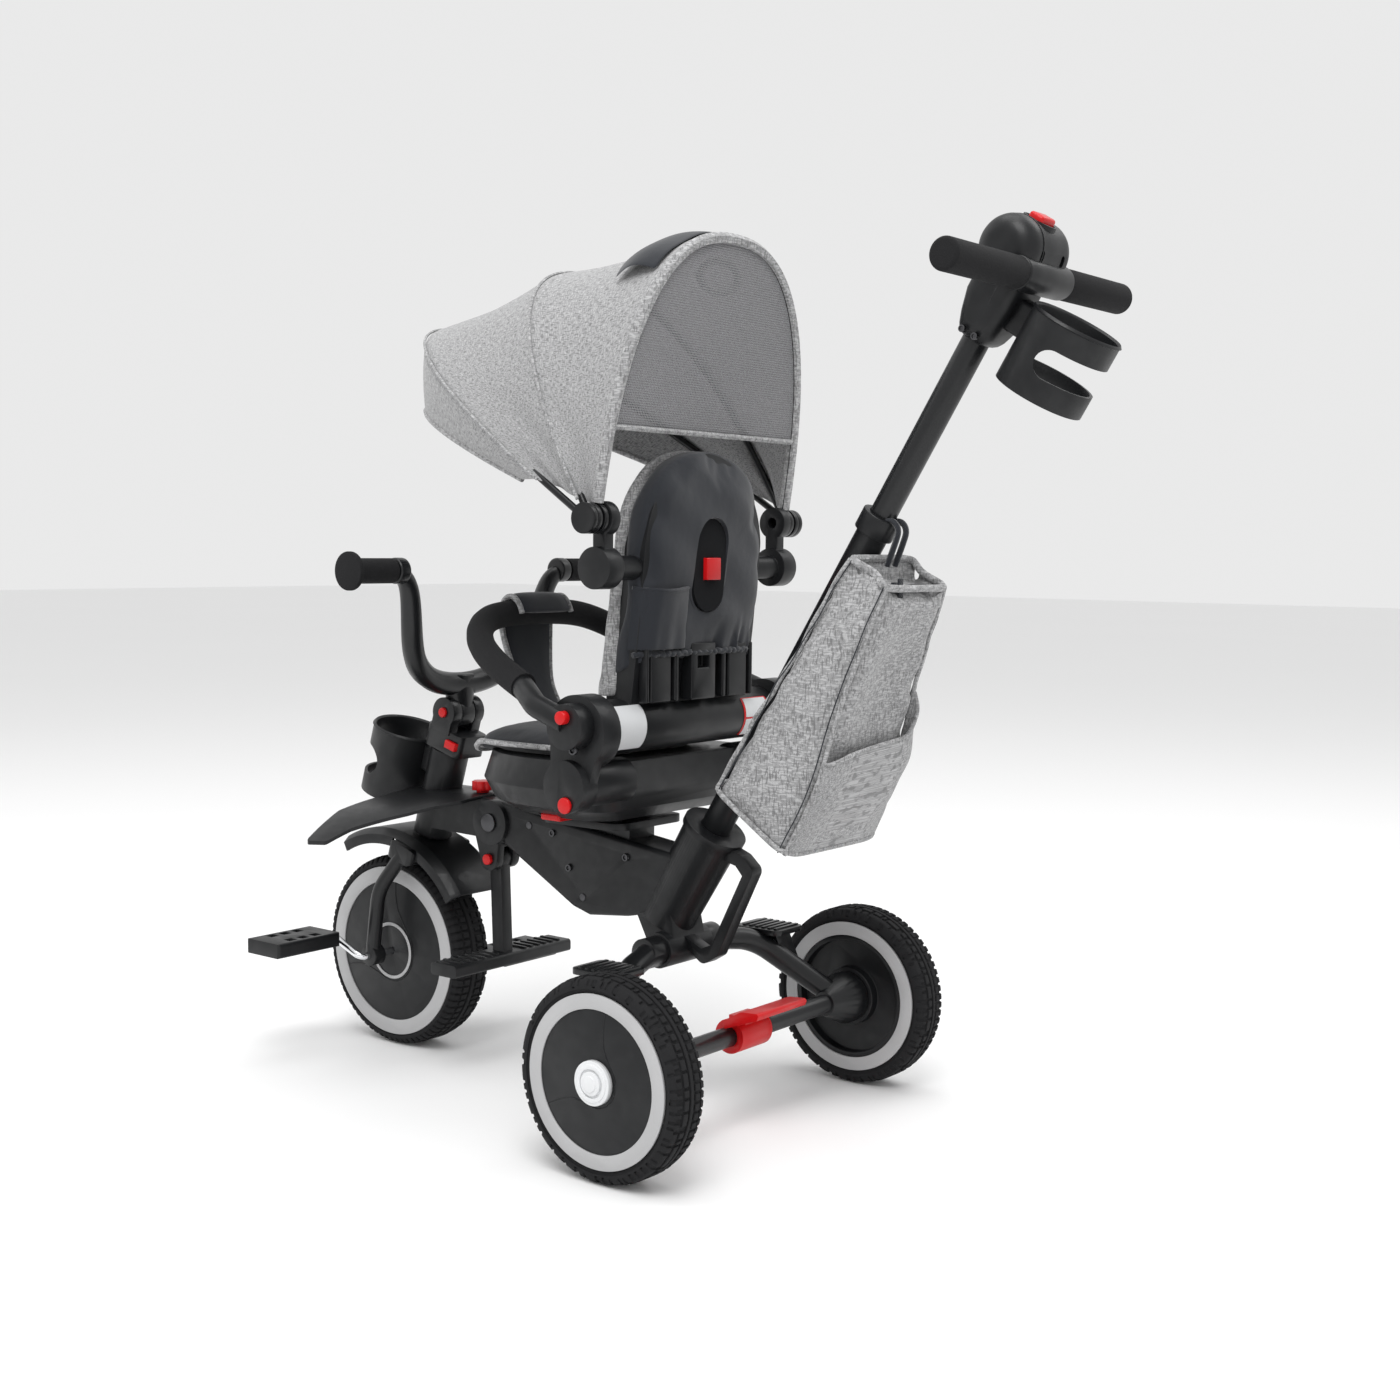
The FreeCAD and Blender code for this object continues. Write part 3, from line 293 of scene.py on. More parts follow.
def net(name, colour, pitch):
    """Warp-knit mesh: round holes in straight rows and columns."""
    r = Recipe(name)
    x = r.add("SeparateXYZ", {}, {0: r.here(True)})
    y = Wire(r, x.socket.node.outputs[1])
    turn = 2 * math.pi / pitch
    hole = (x * turn).sine() * (y * turn).sine()
    solid = 1 - abs(hole).step(0.28, 0.5)
    fibre = r.noise(700.0, 2.0)
    r.coat(base_color=r.mix(fibre, tone(colour, 0.7), tone(colour, 1.3)), roughness=0.8 + fibre * 0.1,
           alpha=0.2 + solid * 0.62, normal=r.bump(solid, 0.0004))
    return r.material


def studio(name, colour):
    """A plain matt floor."""
    r = Recipe(name)
    cloud = r.noise(0.7, 3.0)
    r.coat(base_color=r.mix(cloud, tone(colour, 0.985), tone(colour, 1.0)), roughness=0.75 + cloud * 0.1)
    return r.material


MATERIALS = {}


def finish(obj, name, smooth=None):
    """The piece takes that finish, on every face."""
    obj.data.materials.clear()
    obj.data.materials.append(MATERIALS[name])
    if smooth is not None:
        alone(obj)
        bpy.ops.object.shade_smooth_by_angle(angle=math.radians(smooth))
    return obj


# ---- tools for making pieces ---------------------------------------------------------------------
def alone(*objs):
    """Only these are selected, and the first is the active one."""
    if bpy.context.mode != "OBJECT":
        bpy.ops.object.mode_set(mode="OBJECT")
    bpy.ops.object.select_all(action="DESELECT")
    for o in objs:
        o.select_set(True)
    bpy.context.view_layer.objects.active = objs[0]
    return objs[0]


def new(kind, name, **sizes):
    """A primitive at its size and place, with its place in its mesh."""
    if bpy.context.mode != "OBJECT":
        bpy.ops.object.mode_set(mode="OBJECT")
    bpy.ops.object.select_all(action="DESELECT")
    getattr(bpy.ops.mesh, f"primitive_{kind}_add")(**sizes)
    obj = bpy.context.object
    obj.name = obj.data.name = name
    bpy.ops.object.transform_apply(location=True, rotation=True, scale=True)
    return obj


def pick(obj, faces=None, points=None):
    """Edit mode, with just the faces or points that pass the test selected."""
    alone(obj)
    bpy.ops.object.mode_set(mode="EDIT")
    bpy.ops.mesh.select_mode(type="FACE" if faces else "VERT")
    bpy.ops.mesh.select_all(action="DESELECT")
    bpy.ops.object.mode_set(mode="OBJECT")
    mesh = obj.data
    if faces:
        for f in mesh.polygons:
            f.select = faces(f)
    else:
        for v in mesh.vertices:
            v.select = points(v.co)
    bpy.ops.object.mode_set(mode="EDIT")


def drawn_out(x, y, z):
    """The picked faces are extruded by that much."""
    bpy.ops.mesh.extrude_region_move(TRANSFORM_OT_translate={"value": (x, y, z)})


def done():
    bpy.ops.object.mode_set(mode="OBJECT")


def settle(obj, kind, **settings):
    """Adds a modifier and applies it."""
    alone(obj)
    m = obj.modifiers.new(kind.title(), kind)
    for name, value in settings.items():
        setattr(m, name, value)
    bpy.ops.object.modifier_apply(modifier=m.name)
    return obj


def rounded(obj, radius, steps, angle=30):
    """The edges sharper than that angle, in degrees, are rounded over."""
    return settle(obj, "BEVEL", width=radius, segments=steps, limit_method="ANGLE",
                  angle_limit=math.radians(angle), use_clamp_overlap=True)


def outwards(obj):
    """Doubles are merged and the faces point out."""
    alone(obj)
    bpy.ops.object.mode_set(mode="EDIT")
    bpy.ops.mesh.select_all(action="SELECT")
    bpy.ops.mesh.remove_doubles(threshold=0.00002)
    bpy.ops.mesh.normals_make_consistent(inside=False)
    bpy.ops.object.mode_set(mode="OBJECT")
    return obj


def joined(name, *objs):
    alone(*objs)
    if len(objs) > 1:
        bpy.ops.object.join()
    obj = bpy.context.object
    obj.name = obj.data.name = name
    return obj


def fit(obj, body, nodes=()):
    """The piece rides on a body, and stands for CAD nodes if any are named."""
    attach(obj, body)
    if nodes:
        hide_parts(*nodes)
    return obj


def body_of(node):
    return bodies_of(NODES[node])[0]


def softened(node, name, finish_name, edge):
    """A copy of a CAD node with its doubles merged, its flats made whole and its edges rounded over."""
    alone(NODES[node])
    bpy.ops.object.duplicate()
    obj = bpy.context.object
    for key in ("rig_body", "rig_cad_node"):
        if key in obj:
            del obj[key]
    obj.parent = None
    obj.matrix_world = Matrix.Identity(4)
    obj.name = obj.data.name = name
    bpy.ops.object.mode_set(mode="EDIT")
    bpy.ops.mesh.select_all(action="SELECT")
    bpy.ops.mesh.remove_doubles(threshold=0.00001)
    bpy.ops.mesh.dissolve_limited(angle_limit=math.radians(0.6))
    bpy.ops.object.mode_set(mode="OBJECT")
    rounded(obj, edge, 2, 32)
    finish(obj, finish_name, 40)
    return fit(obj, body_of(node), (node,))


def tube(name, points, radius, body=None, finish_name=None, closed=False, sides=6, order=4, radii=()):
    """A round bead or tube along points, as a mesh."""
    curve = bpy.data.curves.new(name, "CURVE")
    curve.dimensions = "3D"
    curve.bevel_depth, curve.bevel_resolution, curve.use_fill_caps = radius, max(1, sides // 4), True
    line = curve.splines.new("NURBS")
    line.points.add(len(points) - 1)
    for p, co in zip(line.points, points):
        p.co = (*co, 1)
    for p, share in zip(line.points, radii):
        p.radius = share
    line.use_cyclic_u, line.use_endpoint_u = closed, not closed
    line.order_u, line.resolution_u = min(order, len(points)), 6
    obj = bpy.data.objects.new(name, curve)
    bpy.context.scene.collection.objects.link(obj)
    alone(obj)
    bpy.ops.object.convert(target="MESH")
    obj = bpy.context.object
    obj.data.name = name
    outwards(obj)
    if finish_name:
        finish(obj, finish_name, 60)
    if body:
        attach(obj, body)
    return obj


def bounded(value, low, high):
    return max(low, min(high, value))


def eased(value, low, high):
    t = bounded((value - low) / (high - low), 0, 1)
    return t * t * (3 - 2 * t)


# ---- soft goods ----------------------------------------------------------------------------------
def cloth(name, across, along, place, flat, thick=0.0014, finish_name="melange"):
    """A sheet of fabric: a fine grid whose points go where place(u, v) says, with a little thickness."""
    obj = new("grid", name, x_subdivisions=across, y_subdivisions=along, size=2)
    for v in obj.data.vertices:
        v.co = place(v.co.x / 2 + 0.5, v.co.y / 2 + 0.5)
    for corner in obj.data.uv_layers.active.data:
        corner.uv = (corner.uv[0] * flat[0], corner.uv[1] * flat[1])
    settle(obj, "SOLIDIFY", thickness=thick, offset=-1.0)
    settle(obj, "SUBSURF", levels=1, render_levels=1)
    return finish(obj, finish_name, 60)


def shell(name, around, levels, place, closed_ends=True):
    """A closed form lofted through rings. place(turn, level) gives a point of it; both run from 0 to 1."""
    obj = new("grid", name, x_subdivisions=around, y_subdivisions=levels, size=2)
    for v in obj.data.vertices:
        v.co = place(v.co.x / 2 + 0.5, v.co.y / 2 + 0.5)
    outwards(obj)
    if closed_ends:
        bpy.ops.object.mode_set(mode="EDIT")
        bpy.ops.mesh.select_all(action="SELECT")
        bpy.ops.mesh.region_to_loop()
        bpy.ops.mesh.fill_holes(sides=0)
        bpy.ops.mesh.select_all(action="SELECT")
        bpy.ops.mesh.normals_make_consistent(inside=False)
        bpy.ops.object.mode_set(mode="OBJECT")
    return obj


def stuffed(obj, voxel=0.005, pressure=4.0, cap=0.008):
    """Swells a sewn piece as its filling does: cloth with air in it, no point moving further than cap."""
    alone(obj)
    obj.data.remesh_voxel_size = voxel
    bpy.ops.object.voxel_remesh()
    before = [v.co.copy() for v in obj.data.vertices]
    skin = obj.modifiers.new("Cloth", "CLOTH")
    skin.settings.use_pressure = True
    skin.settings.uniform_pressure_force = pressure
    skin.settings.effector_weights.gravity = 0.0
    skin.point_cache.frame_end = 20
    for number in range(1, 21):
        bpy.context.scene.frame_set(number)
    bpy.ops.object.modifier_apply(modifier=skin.name)
    bpy.context.scene.frame_set(1)
    for v, was in zip(obj.data.vertices, before):
        moved = v.co - was
        if moved.length > cap:
            v.co = was + moved * (cap / moved.length)
    settle(obj, "SUBSURF", levels=1, render_levels=1)
    return obj


# ---- what a user changes -------------------------------------------------------------------------
def colour(name, description, default):
    return bpy.props.FloatVectorProperty(name=name, description=description, default=default, size=3,
                                         subtype="COLOR", min=0, max=1)


def length(name, description, default):
    return bpy.props.FloatProperty(name=name, description=description, default=default, unit="LENGTH",
                                   subtype="DISTANCE", min=0)


class TricycleColours(bpy.types.PropertyGroup):
    """The colours of the tricycle's finishes."""
    plastic: colour("Plastic", "Moulded parts of the frame and seat", (0.0075, 0.008, 0.009))
    red: colour("Red", "Buttons, locks and the brake pedal", (0.56, 0.006, 0.008))
    ring: colour("Ring", "Pale rings in the wheels", (0.44, 0.44, 0.445))
    fabric: colour("Grey fabric", "Melange cloth of canopy, bag and edging", (0.27, 0.27, 0.273))
    nylon: colour("Dark fabric", "Seat covers and pads", (0.0065, 0.0085, 0.0135))
    rubber: colour("Foam rubber", "Tyres", (0.010, 0.010, 0.011))
    mesh: colour("Mesh", "Rear window of the canopy", (0.30, 0.30, 0.31))
    floor: colour("Floor", "The studio's floor", (0.90, 0.90, 0.90))


class TricycleSizes(bpy.types.PropertyGroup):
    """The sizes of what is added to the frame."""
    tread: length("Tread depth", "Depth of the grooves in the tyres", 0.0026)
    edge: length("Edge round", "Radius of the moulded parts' edges", 0.0010)
    fabric_thick: length("Fabric", "Thickness of the canopy's cloth", 0.0014)


def colours():
    return bpy.context.scene.tricycle_colours


def sizes():
    return bpy.context.scene.tricycle_sizes


class TRIKE_OT_finishes(bpy.types.Operator):
    """Mixes the finishes that the pieces take."""
    bl_idname = "trike.finishes"
    bl_label = "Finishes"

    def execute(self, context):
        c = colours()
        MATERIALS.update({
            "plastic": moulded("Charcoal moulded plastic", c.plastic),
            "smooth plastic": moulded("Satin moulded plastic", tone(c.plastic, 0.8), 0.3, 0.00002),
            "red": moulded("Red moulded plastic", c.red, 0.33, 0.00003),
            "ring": moulded("Pale grey ring plastic", c.ring, 0.4, 0.00003),
            "hub cap": moulded("White hub cap plastic", (0.75, 0.76, 0.77), 0.3, 0.00002),
            "tyre": foam("Black foam tyre", c.rubber, 0.0009, 0.00012),
            "foam": foam("Black foam grip", tone(c.rubber, 0.9), 0.0016, 0.0003, 0.9),
            "paint": painted("Black powder coat", tone(c.plastic, 0.9)),
            "chrome": metal("Chromed steel", (0.83, 0.84, 0.86), 0.08, 0.02),
            "dark steel": metal("Blackened steel", (0.09, 0.09, 0.095), 0.35, 0.1),
            "melange": woven("Grey melange canvas", c.fabric, 0.0012, 0.62, 0.00016, True),
            "melange pad": woven("Grey melange cover", c.fabric, 0.0012, 0.62, 0.00016),
            "nylon": woven("Navy black nylon", c.nylon, 0.0009, 0.0, 0.0001, False, 0.0016),
            "lining": foam("Dark lining", tone(c.nylon, 0.22), 0.0012, 0.0001, 0.95),
            "webbing": woven("Black webbing", tone(c.nylon, 1.1), 0.0016, 0.0, 0.0003),
            "mesh": net("Grey warp-knit mesh", c.mesh, 0.0052),
            "paper": moulded("Blank pale label", (0.62, 0.63, 0.64), 0.5, 0.00001),
        })
        return {"FINISHED"}


# ---- the frame's own parts -----------------------------------------------------------------------
HARD_PARTS = {
    "plastic": ["main_beam", "rear_housing", "grab_handle", "push_sleeve", "front_knuckle", "foot_platform",
                "footrest", "front_fender", "pedal_left", "pedal_right", "seat_shell", "side_brackets",
                "back_shell", "canopy_posts", "bar_sockets", "rim_front", "rim_rear_left", "rim_rear_right"],
    "paint": ["fork", "rear_axle_frame", "push_tube"],
    "red": ["fold_knob", "footrest_lock", "steering_lock", "handlebar_button", "brake_pedal", "swivel_tab",
            "side_button_left", "side_button_right", "recline_lever", "bar_button_left", "bar_button_right"],
    "ring": ["trim_front", "trim_rear_left", "trim_rear_right"],
    "dark steel": ["frame_screws", "axle_rod"],
    "chrome": ["crank"],
    "foam": ["handlebar_grips", "push_grips"],
}


class TRIKE_OT_hard_parts(bpy.types.Operator):
    """The moulded, painted and metal parts: each keeps its shape, with rounded edges and its finish."""
    bl_idname = "trike.hard_parts"
    bl_label = "Hard parts"

    def execute(self, context):
        for name, nodes in HARD_PARTS.items():
            for node in nodes:
                NODES[node].data.materials.clear()
                NODES[node].data.materials.append(MATERIALS[name])
                softened(node, node + "_finished", name, sizes().edge)
        return {"FINISHED"}


# ---- wheels --------------------------------------------------------------------------------------
def tyre(name, node, inner, lugs):
    """A foam tyre: rows of lugs between grooves that run round it, and rounded walls down to the rim."""
    low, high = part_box(node)
    hub, wide, outer = middle(node), (high.y - low.y) / 2, (high.z - low.z) / 2
    obj = new("cylinder", name, vertices=lugs * 3, radius=outer, depth=2 * wide, end_fill_type="NOTHING",
              location=hub, rotation=(math.pi / 2, 0, 0))
    bands = [0.10, 0.20, 0.50, 0.60, 0.84]
    for band in bands:
        for side in (1, -1):
            pick(obj, points=lambda co: True)
            bpy.ops.mesh.bisect(plane_co=hub + Vector((0, side * band * wide, 0)), plane_no=(0, 1, 0))
            done()

    def swell(out, share):
        pick(obj, points=lambda co: abs(abs(co.y - hub.y) - out * wide) < 1e-5)
        bpy.ops.transform.resize(value=(share, 1, share), center_override=hub)
        done()
    swell(1.0, 1 - 0.0085 / outer)
    swell(0.84, 1 - 0.0022 / outer)
    swell(0.60, 1 - 0.0007 / outer)

    def cut(face):
        place = face.center - hub
        out = place.y / wide
        shift = lugs * 3 if out > 0 else lugs * 3 + 1.5
        lug = int(math.atan2(place.z, place.x) / math.tau * lugs * 3 + shift) % 3
        row = abs(out)
        return 0.10 < row < 0.20 or 0.50 < row < 0.60 or (lug == 0 and row > 0.20)
    pick(obj, faces=cut)
    bpy.ops.mesh.extrude_region_move()
    share = 1 - sizes().tread / outer
    bpy.ops.transform.resize(value=(share, 1, share), center_override=hub)
    done()
    for out, radius in ((1.0, outer - 0.013), (0.97, inner + 0.006), (0.90, inner)):
        for side in (1, -1):
            pick(obj, points=lambda co: True)
            bpy.ops.mesh.region_to_loop()
            done()
            rim = [v for v in obj.data.vertices if v.select and (v.co.y - hub.y) * side > 0]
            chosen = {v.index for v in rim}
            for e in obj.data.edges:
                e.select = e.vertices[0] in chosen and e.vertices[1] in chosen
            for v in obj.data.vertices:
                v.select = v.index in chosen
            bpy.ops.object.mode_set(mode="EDIT")
            bpy.ops.mesh.extrude_edges_move()
            done()
            for v in obj.data.vertices:
                if v.select:
                    spoke = Vector((v.co.x - hub.x, 0, v.co.z - hub.z)).normalized()
                    v.co = hub + spoke * radius + Vector((0, side * out * wide, 0))
    pick(obj, points=lambda co: True)
    bpy.ops.mesh.region_to_loop()
    bpy.ops.mesh.bridge_edge_loops()
    done()
    outwards(obj)
    rounded(obj, 0.0006, 1, 40)
    finish(obj, "tyre", 35)
    return fit(obj, body_of(node), (node,))


def face_line(name, hub, y, eye, ring, turns, body):
    """The fine line in a wheel's face: round under the hub, and off to the ring on both sides."""
    points = []
    first, last = (math.radians(t) for t in turns)
    for reach, turn in ((ring, first), (eye * 1.6, first)):
        points.append((reach, turn))
    sweep = (last - first) % math.tau
    points += [(eye, first + sweep * i / 8) for i in range(1, 8)]
    points += [(eye * 1.6, last), (ring, last)]
    at_face = [Vector((hub.x + r * math.cos(t), y, hub.z + r * math.sin(t))) for r, t in points]
    return tube(name, at_face, 0.00055, body, "smooth plastic", order=3)


class TRIKE_OT_wheels(bpy.types.Operator):
    """The three tyres with their tread, and the lines in the wheels' faces."""
    bl_idname = "trike.wheels"
    bl_label = "Wheels"

    def execute(self, context):
        rear_in = (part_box("trim_rear_left")[1].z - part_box("trim_rear_left")[0].z) / 2 + 0.0003
        front_in = (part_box("trim_front")[1].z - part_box("trim_front")[0].z) / 2 + 0.0003
        tyre("front_tyre", "tyre_front", front_in, 76)
        tyre("left_rear_tyre", "tyre_rear_left", rear_in, 66)
        tyre("right_rear_tyre", "tyre_rear_right", rear_in, 66)
        for side, label in ((1, "left"), (-1, "right")):
            outer = max(abs(c.y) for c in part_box(f"rim_rear_{label}"))
            face_line(f"{label}_rear_face_line", REAR_HUB, side * (outer - 0.0001), 0.027, 0.072, (100, -28),
                      f"rear_{label}_wheel")
            face_line(f"{label}_front_face_line", FRONT_HUB, side * 0.0281, 0.04, 0.088, (95, -20),
                      "front_wheel")
        return {"FINISHED"}


# ---- canopy --------------------------------------------------------------------------------------
# each bow's angle above the way forwards, reach, half width and height of the feet
REAR_BOW = (99.7, 302.0, 164.0, 12.0)
MIDDLE_BOW = (60.5, 315.0, 174.0, 20.0)
FRONT_BOW = (33.1, 412.0, 181.0, 72.0)
VISOR_RIM = (20.9, 386.0, 158.0, 112.0)
ROUND = 2.5                                 # how square the arches are: 2 is a circle's curve


def evenly(points, count):
    """That many points, evenly spaced along a line of points."""
    runs = [0.0]
    for a, b in zip(points, points[1:]):
        runs.append(runs[-1] + (b - a).length)
    found, k = [], 0
    for i in range(count):
        goal = runs[-1] * i / (count - 1)
        while k < len(points) - 2 and runs[k + 1] < goal:
            k += 1
        share = (goal - runs[k]) / max(runs[k + 1] - runs[k], 1e-9)
        found.append(points[k].lerp(points[k + 1], bounded(share, 0, 1)))
    return found


def bow_line(bow, count, grow=0.0):
    """A bow from its left foot over its crown to its right foot."""
    angle, reach, half, foot = bow
    way = Vector((math.cos(math.radians(angle)), 0, math.sin(math.radians(angle)))) / 1000
    points = []
    for i in range(361):
        turn = math.pi * (i / 360 - 0.5)
        along = (reach + grow) * abs(math.cos(turn)) ** (2 / ROUND)
        y = -(half + grow) * math.copysign(abs(math.sin(turn)) ** (2 / ROUND), turn)
        if along >= foot:
            points.append(CANOPY_PIVOT + way * along + Vector((0, y / 1000, 0)))
    return evenly(points, count)


class TRIKE_OT_canopy(bpy.types.Operator):
    """The canopy: its bows, one curved sheet over them, its mesh window, edgings and the rolled flap."""
    bl_idname = "trike.canopy"
    bl_label = "Canopy"

    def execute(self, context):
        across, along = 72, 60
        lines = [bow_line(bow, across + 1, 5.5) for bow in (REAR_BOW, MIDDLE_BOW, FRONT_BOW, VISOR_RIM)]
        stops = [0.0, 0.42, 0.86, 1.0]
        sags = [0.006, 0.007, -0.003]

        def place(u, v):
            k = max(i for i in range(3) if v >= stops[i] - 1e-9)
            f = (v - stops[k]) / (stops[k + 1] - stops[k])
            i = round(u * across)
            point = lines[k][i].lerp(lines[k + 1][i], f)
            inward = (CANOPY_PIVOT + Vector((0.09, 0, 0.06)) - point).normalized()
            low = eased(abs(u - 0.5), 0.24, 0.5)
            crease = math.sin(23 * v + 34 * abs(u - 0.5)) * 0.0028 * low * math.sin(math.pi * min(1,
                                                                                                  v * 1.25))
            ripple = math.sin(41 * u + 9 * v) * math.sin(15 * v + 2) * 0.0009
            return point + inward * (sags[k] * math.sin(math.pi * f) + crease + ripple * (1 - abs(2 * f - 1)))
        flat = (0.86, 0.50)
        roof = cloth("canopy_cloth", across, along, place, flat, sizes().fabric_thick)
        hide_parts("canopy_roof", "canopy_middle", "canopy_visor")
        turning = lines[0][across // 2] + Vector((0.01, 0, 0)), lines[2][across // 2] - Vector((0.01, 0, 0))
        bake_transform(roof, "canopy", "canopy_front", *turning)
        for name, bow, body, radius, grow in (("rear", REAR_BOW, "canopy", 0.0066, 0.6),
                                              ("middle", MIDDLE_BOW, None, 0.0016, 6.6),
                                              ("front", FRONT_BOW, "canopy_front", 0.0016, 6.6),
                                              ("rim", VISOR_RIM, "canopy_front", 0.0030, 5.0)):
            edge = tube(f"canopy_{name}_seam", bow_line(bow, 34, grow), radius, body, "melange pad", order=3)
            if body is None:
                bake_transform(edge, "canopy", "canopy_front", *turning)
        for name, bow, body in (("rear", REAR_BOW, "canopy"), ("middle", MIDDLE_BOW, "canopy_mid"),
                                ("front", FRONT_BOW, "canopy_front")):
            feet = (bow[0], bow[1], bow[2], 6.0)
            wire = tube(f"{name}_bow_wire", bow_line(feet, 40, -1.5), 0.004, None, "smooth plastic",
                        order=3, sides=12)
            discs = []
            for side in (1, -1):
                disc = new("cylinder", "disc", vertices=40, radius=0.016, depth=0.007,
                           location=CANOPY_PIVOT + Vector((0, side * bow[2] / 1000, 0)),
                           rotation=(math.pi / 2, 0, 0))
                pick(disc, faces=lambda f: abs(f.normal.y) > 0.9)
                bpy.ops.mesh.inset(thickness=0.004)
                bpy.ops.transform.resize(value=(1, 0.7, 1), center_override=middle_of(disc))
                done()
                rounded(disc, 0.0008, 2)
                discs.append(disc)
            whole = joined(f"{name}_bow_finished", wire, *discs)
            finish(whole, "smooth plastic", 40)
            fit(whole, body, (f"{name}_bow",))

        angle, reach, half, _ = REAR_BOW
        way = Vector((math.cos(math.radians(angle)), 0, math.sin(math.radians(angle)))) / 1000
        back = Vector((-way.z, 0, way.x))

        def window(u, v):
            high = 95 + (reach - 96) * v
            wide = (half - 1) * (1 - (high / (reach + 1)) ** ROUND) ** (1 / ROUND)
            bulge = 7 * math.cos(math.pi * (u - 0.5)) * math.sin(math.pi * v) ** 0.5
            return CANOPY_PIVOT + way * high + Vector((0, wide * (1 - 2 * u) / 1000, 0)) + back * (bulge + 1)
        net_flat = (0.32, 0.215)
        net_piece = cloth("canopy_window", 44, 36, window, net_flat, 0.0006, "mesh")
        fit(net_piece, "canopy", ("canopy_mesh",))
        hem = tube("window_hem", [window(u / 12, 0.0) + back * 1.5 for u in range(13)], 0.0032, "canopy",
                   "melange pad", order=3)

        loop = [CANOPY_PIVOT + way * (262 + 17 * math.sin(t)) + Vector((0, 0.034 * math.cos(t),
                                                                        0)) - back * 14
                for t in (math.tau * i / 16 for i in range(16))]
        tie = tube("flap_loop", loop, 0.0042, "canopy", "webbing", closed=True, order=3)

        def flap(u, v):
            f = 0.05 + 0.30 * v
            i = round((0.33 + 0.34 * u) * across)
            point = lines[0][i].lerp(lines[1][i], f)
            lift = 2.5 + 9 * math.sin(math.pi * v) * (0.45 + 0.55 * abs(2 * u - 1)) + 1.2 * math.sin(21 * u)
            return point + (point - CANOPY_PIVOT).normalized() * lift / 1000
        flap_flat = (0.23, 0.068)
        cover = cloth("rolled_flap", 24, 12, flap, flap_flat, 0.0016, "nylon")
        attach(cover, "canopy")
        return {"FINISHED"}


def middle_of(obj):
    corners = [Vector(c) for c in obj.bound_box]
    return sum(corners, Vector()) / 8


# ---- seat ----------------------------------------------------------------------------------------
def back_width(z, wide, top):
    """Half width of the back's outline at a height, in millimetres."""
    if z < top - 106:
        return wide
    return wide * max(0.0, 1 - ((z - top + 106) / 106) ** 2.3) ** (1 / 2.3)


def back_pad(name, wide, top, base, depth, around=72, levels=44):
    """An upright pad with a rounded top. base(side) is its foot, depth(z) its rear and front."""
    def place(turn, level):
        a = turn * math.tau
        front = math.cos(a)
        low = base(front)
        z = low + (top - low) * math.sin(level * math.pi / 2)
        half = back_width(z, wide, top)
        rear_x, front_x = depth(z)
        thin = 0.16 + 0.84 * (half / wide) ** 0.6
        x = (rear_x + front_x) / 2 + (front_x - rear_x) / 2 * thin * math.copysign(abs(front) ** 0.55, front)
        return at(x, half * math.copysign(abs(math.sin(a)) ** 0.62, math.sin(a)), z)
    return shell(name, around, levels, place)


def opening(name, radius, deep, forwards):
    """A block with the outline of the opening in the back cover: long, and narrow at its foot."""
    obj = new("cylinder", name, vertices=64, radius=radius, depth=deep, location=at(forwards, -2, 604),
              rotation=(0, math.pi / 2, 0))
    pick(obj, points=lambda co: co.z > 0.604)
    bpy.ops.transform.translate(value=(0, 0, 0.034))
    done()
    pick(obj, points=lambda co: co.z < 0.604)
    bpy.ops.transform.translate(value=(0, 0.004, -0.014))
    done()
    return obj


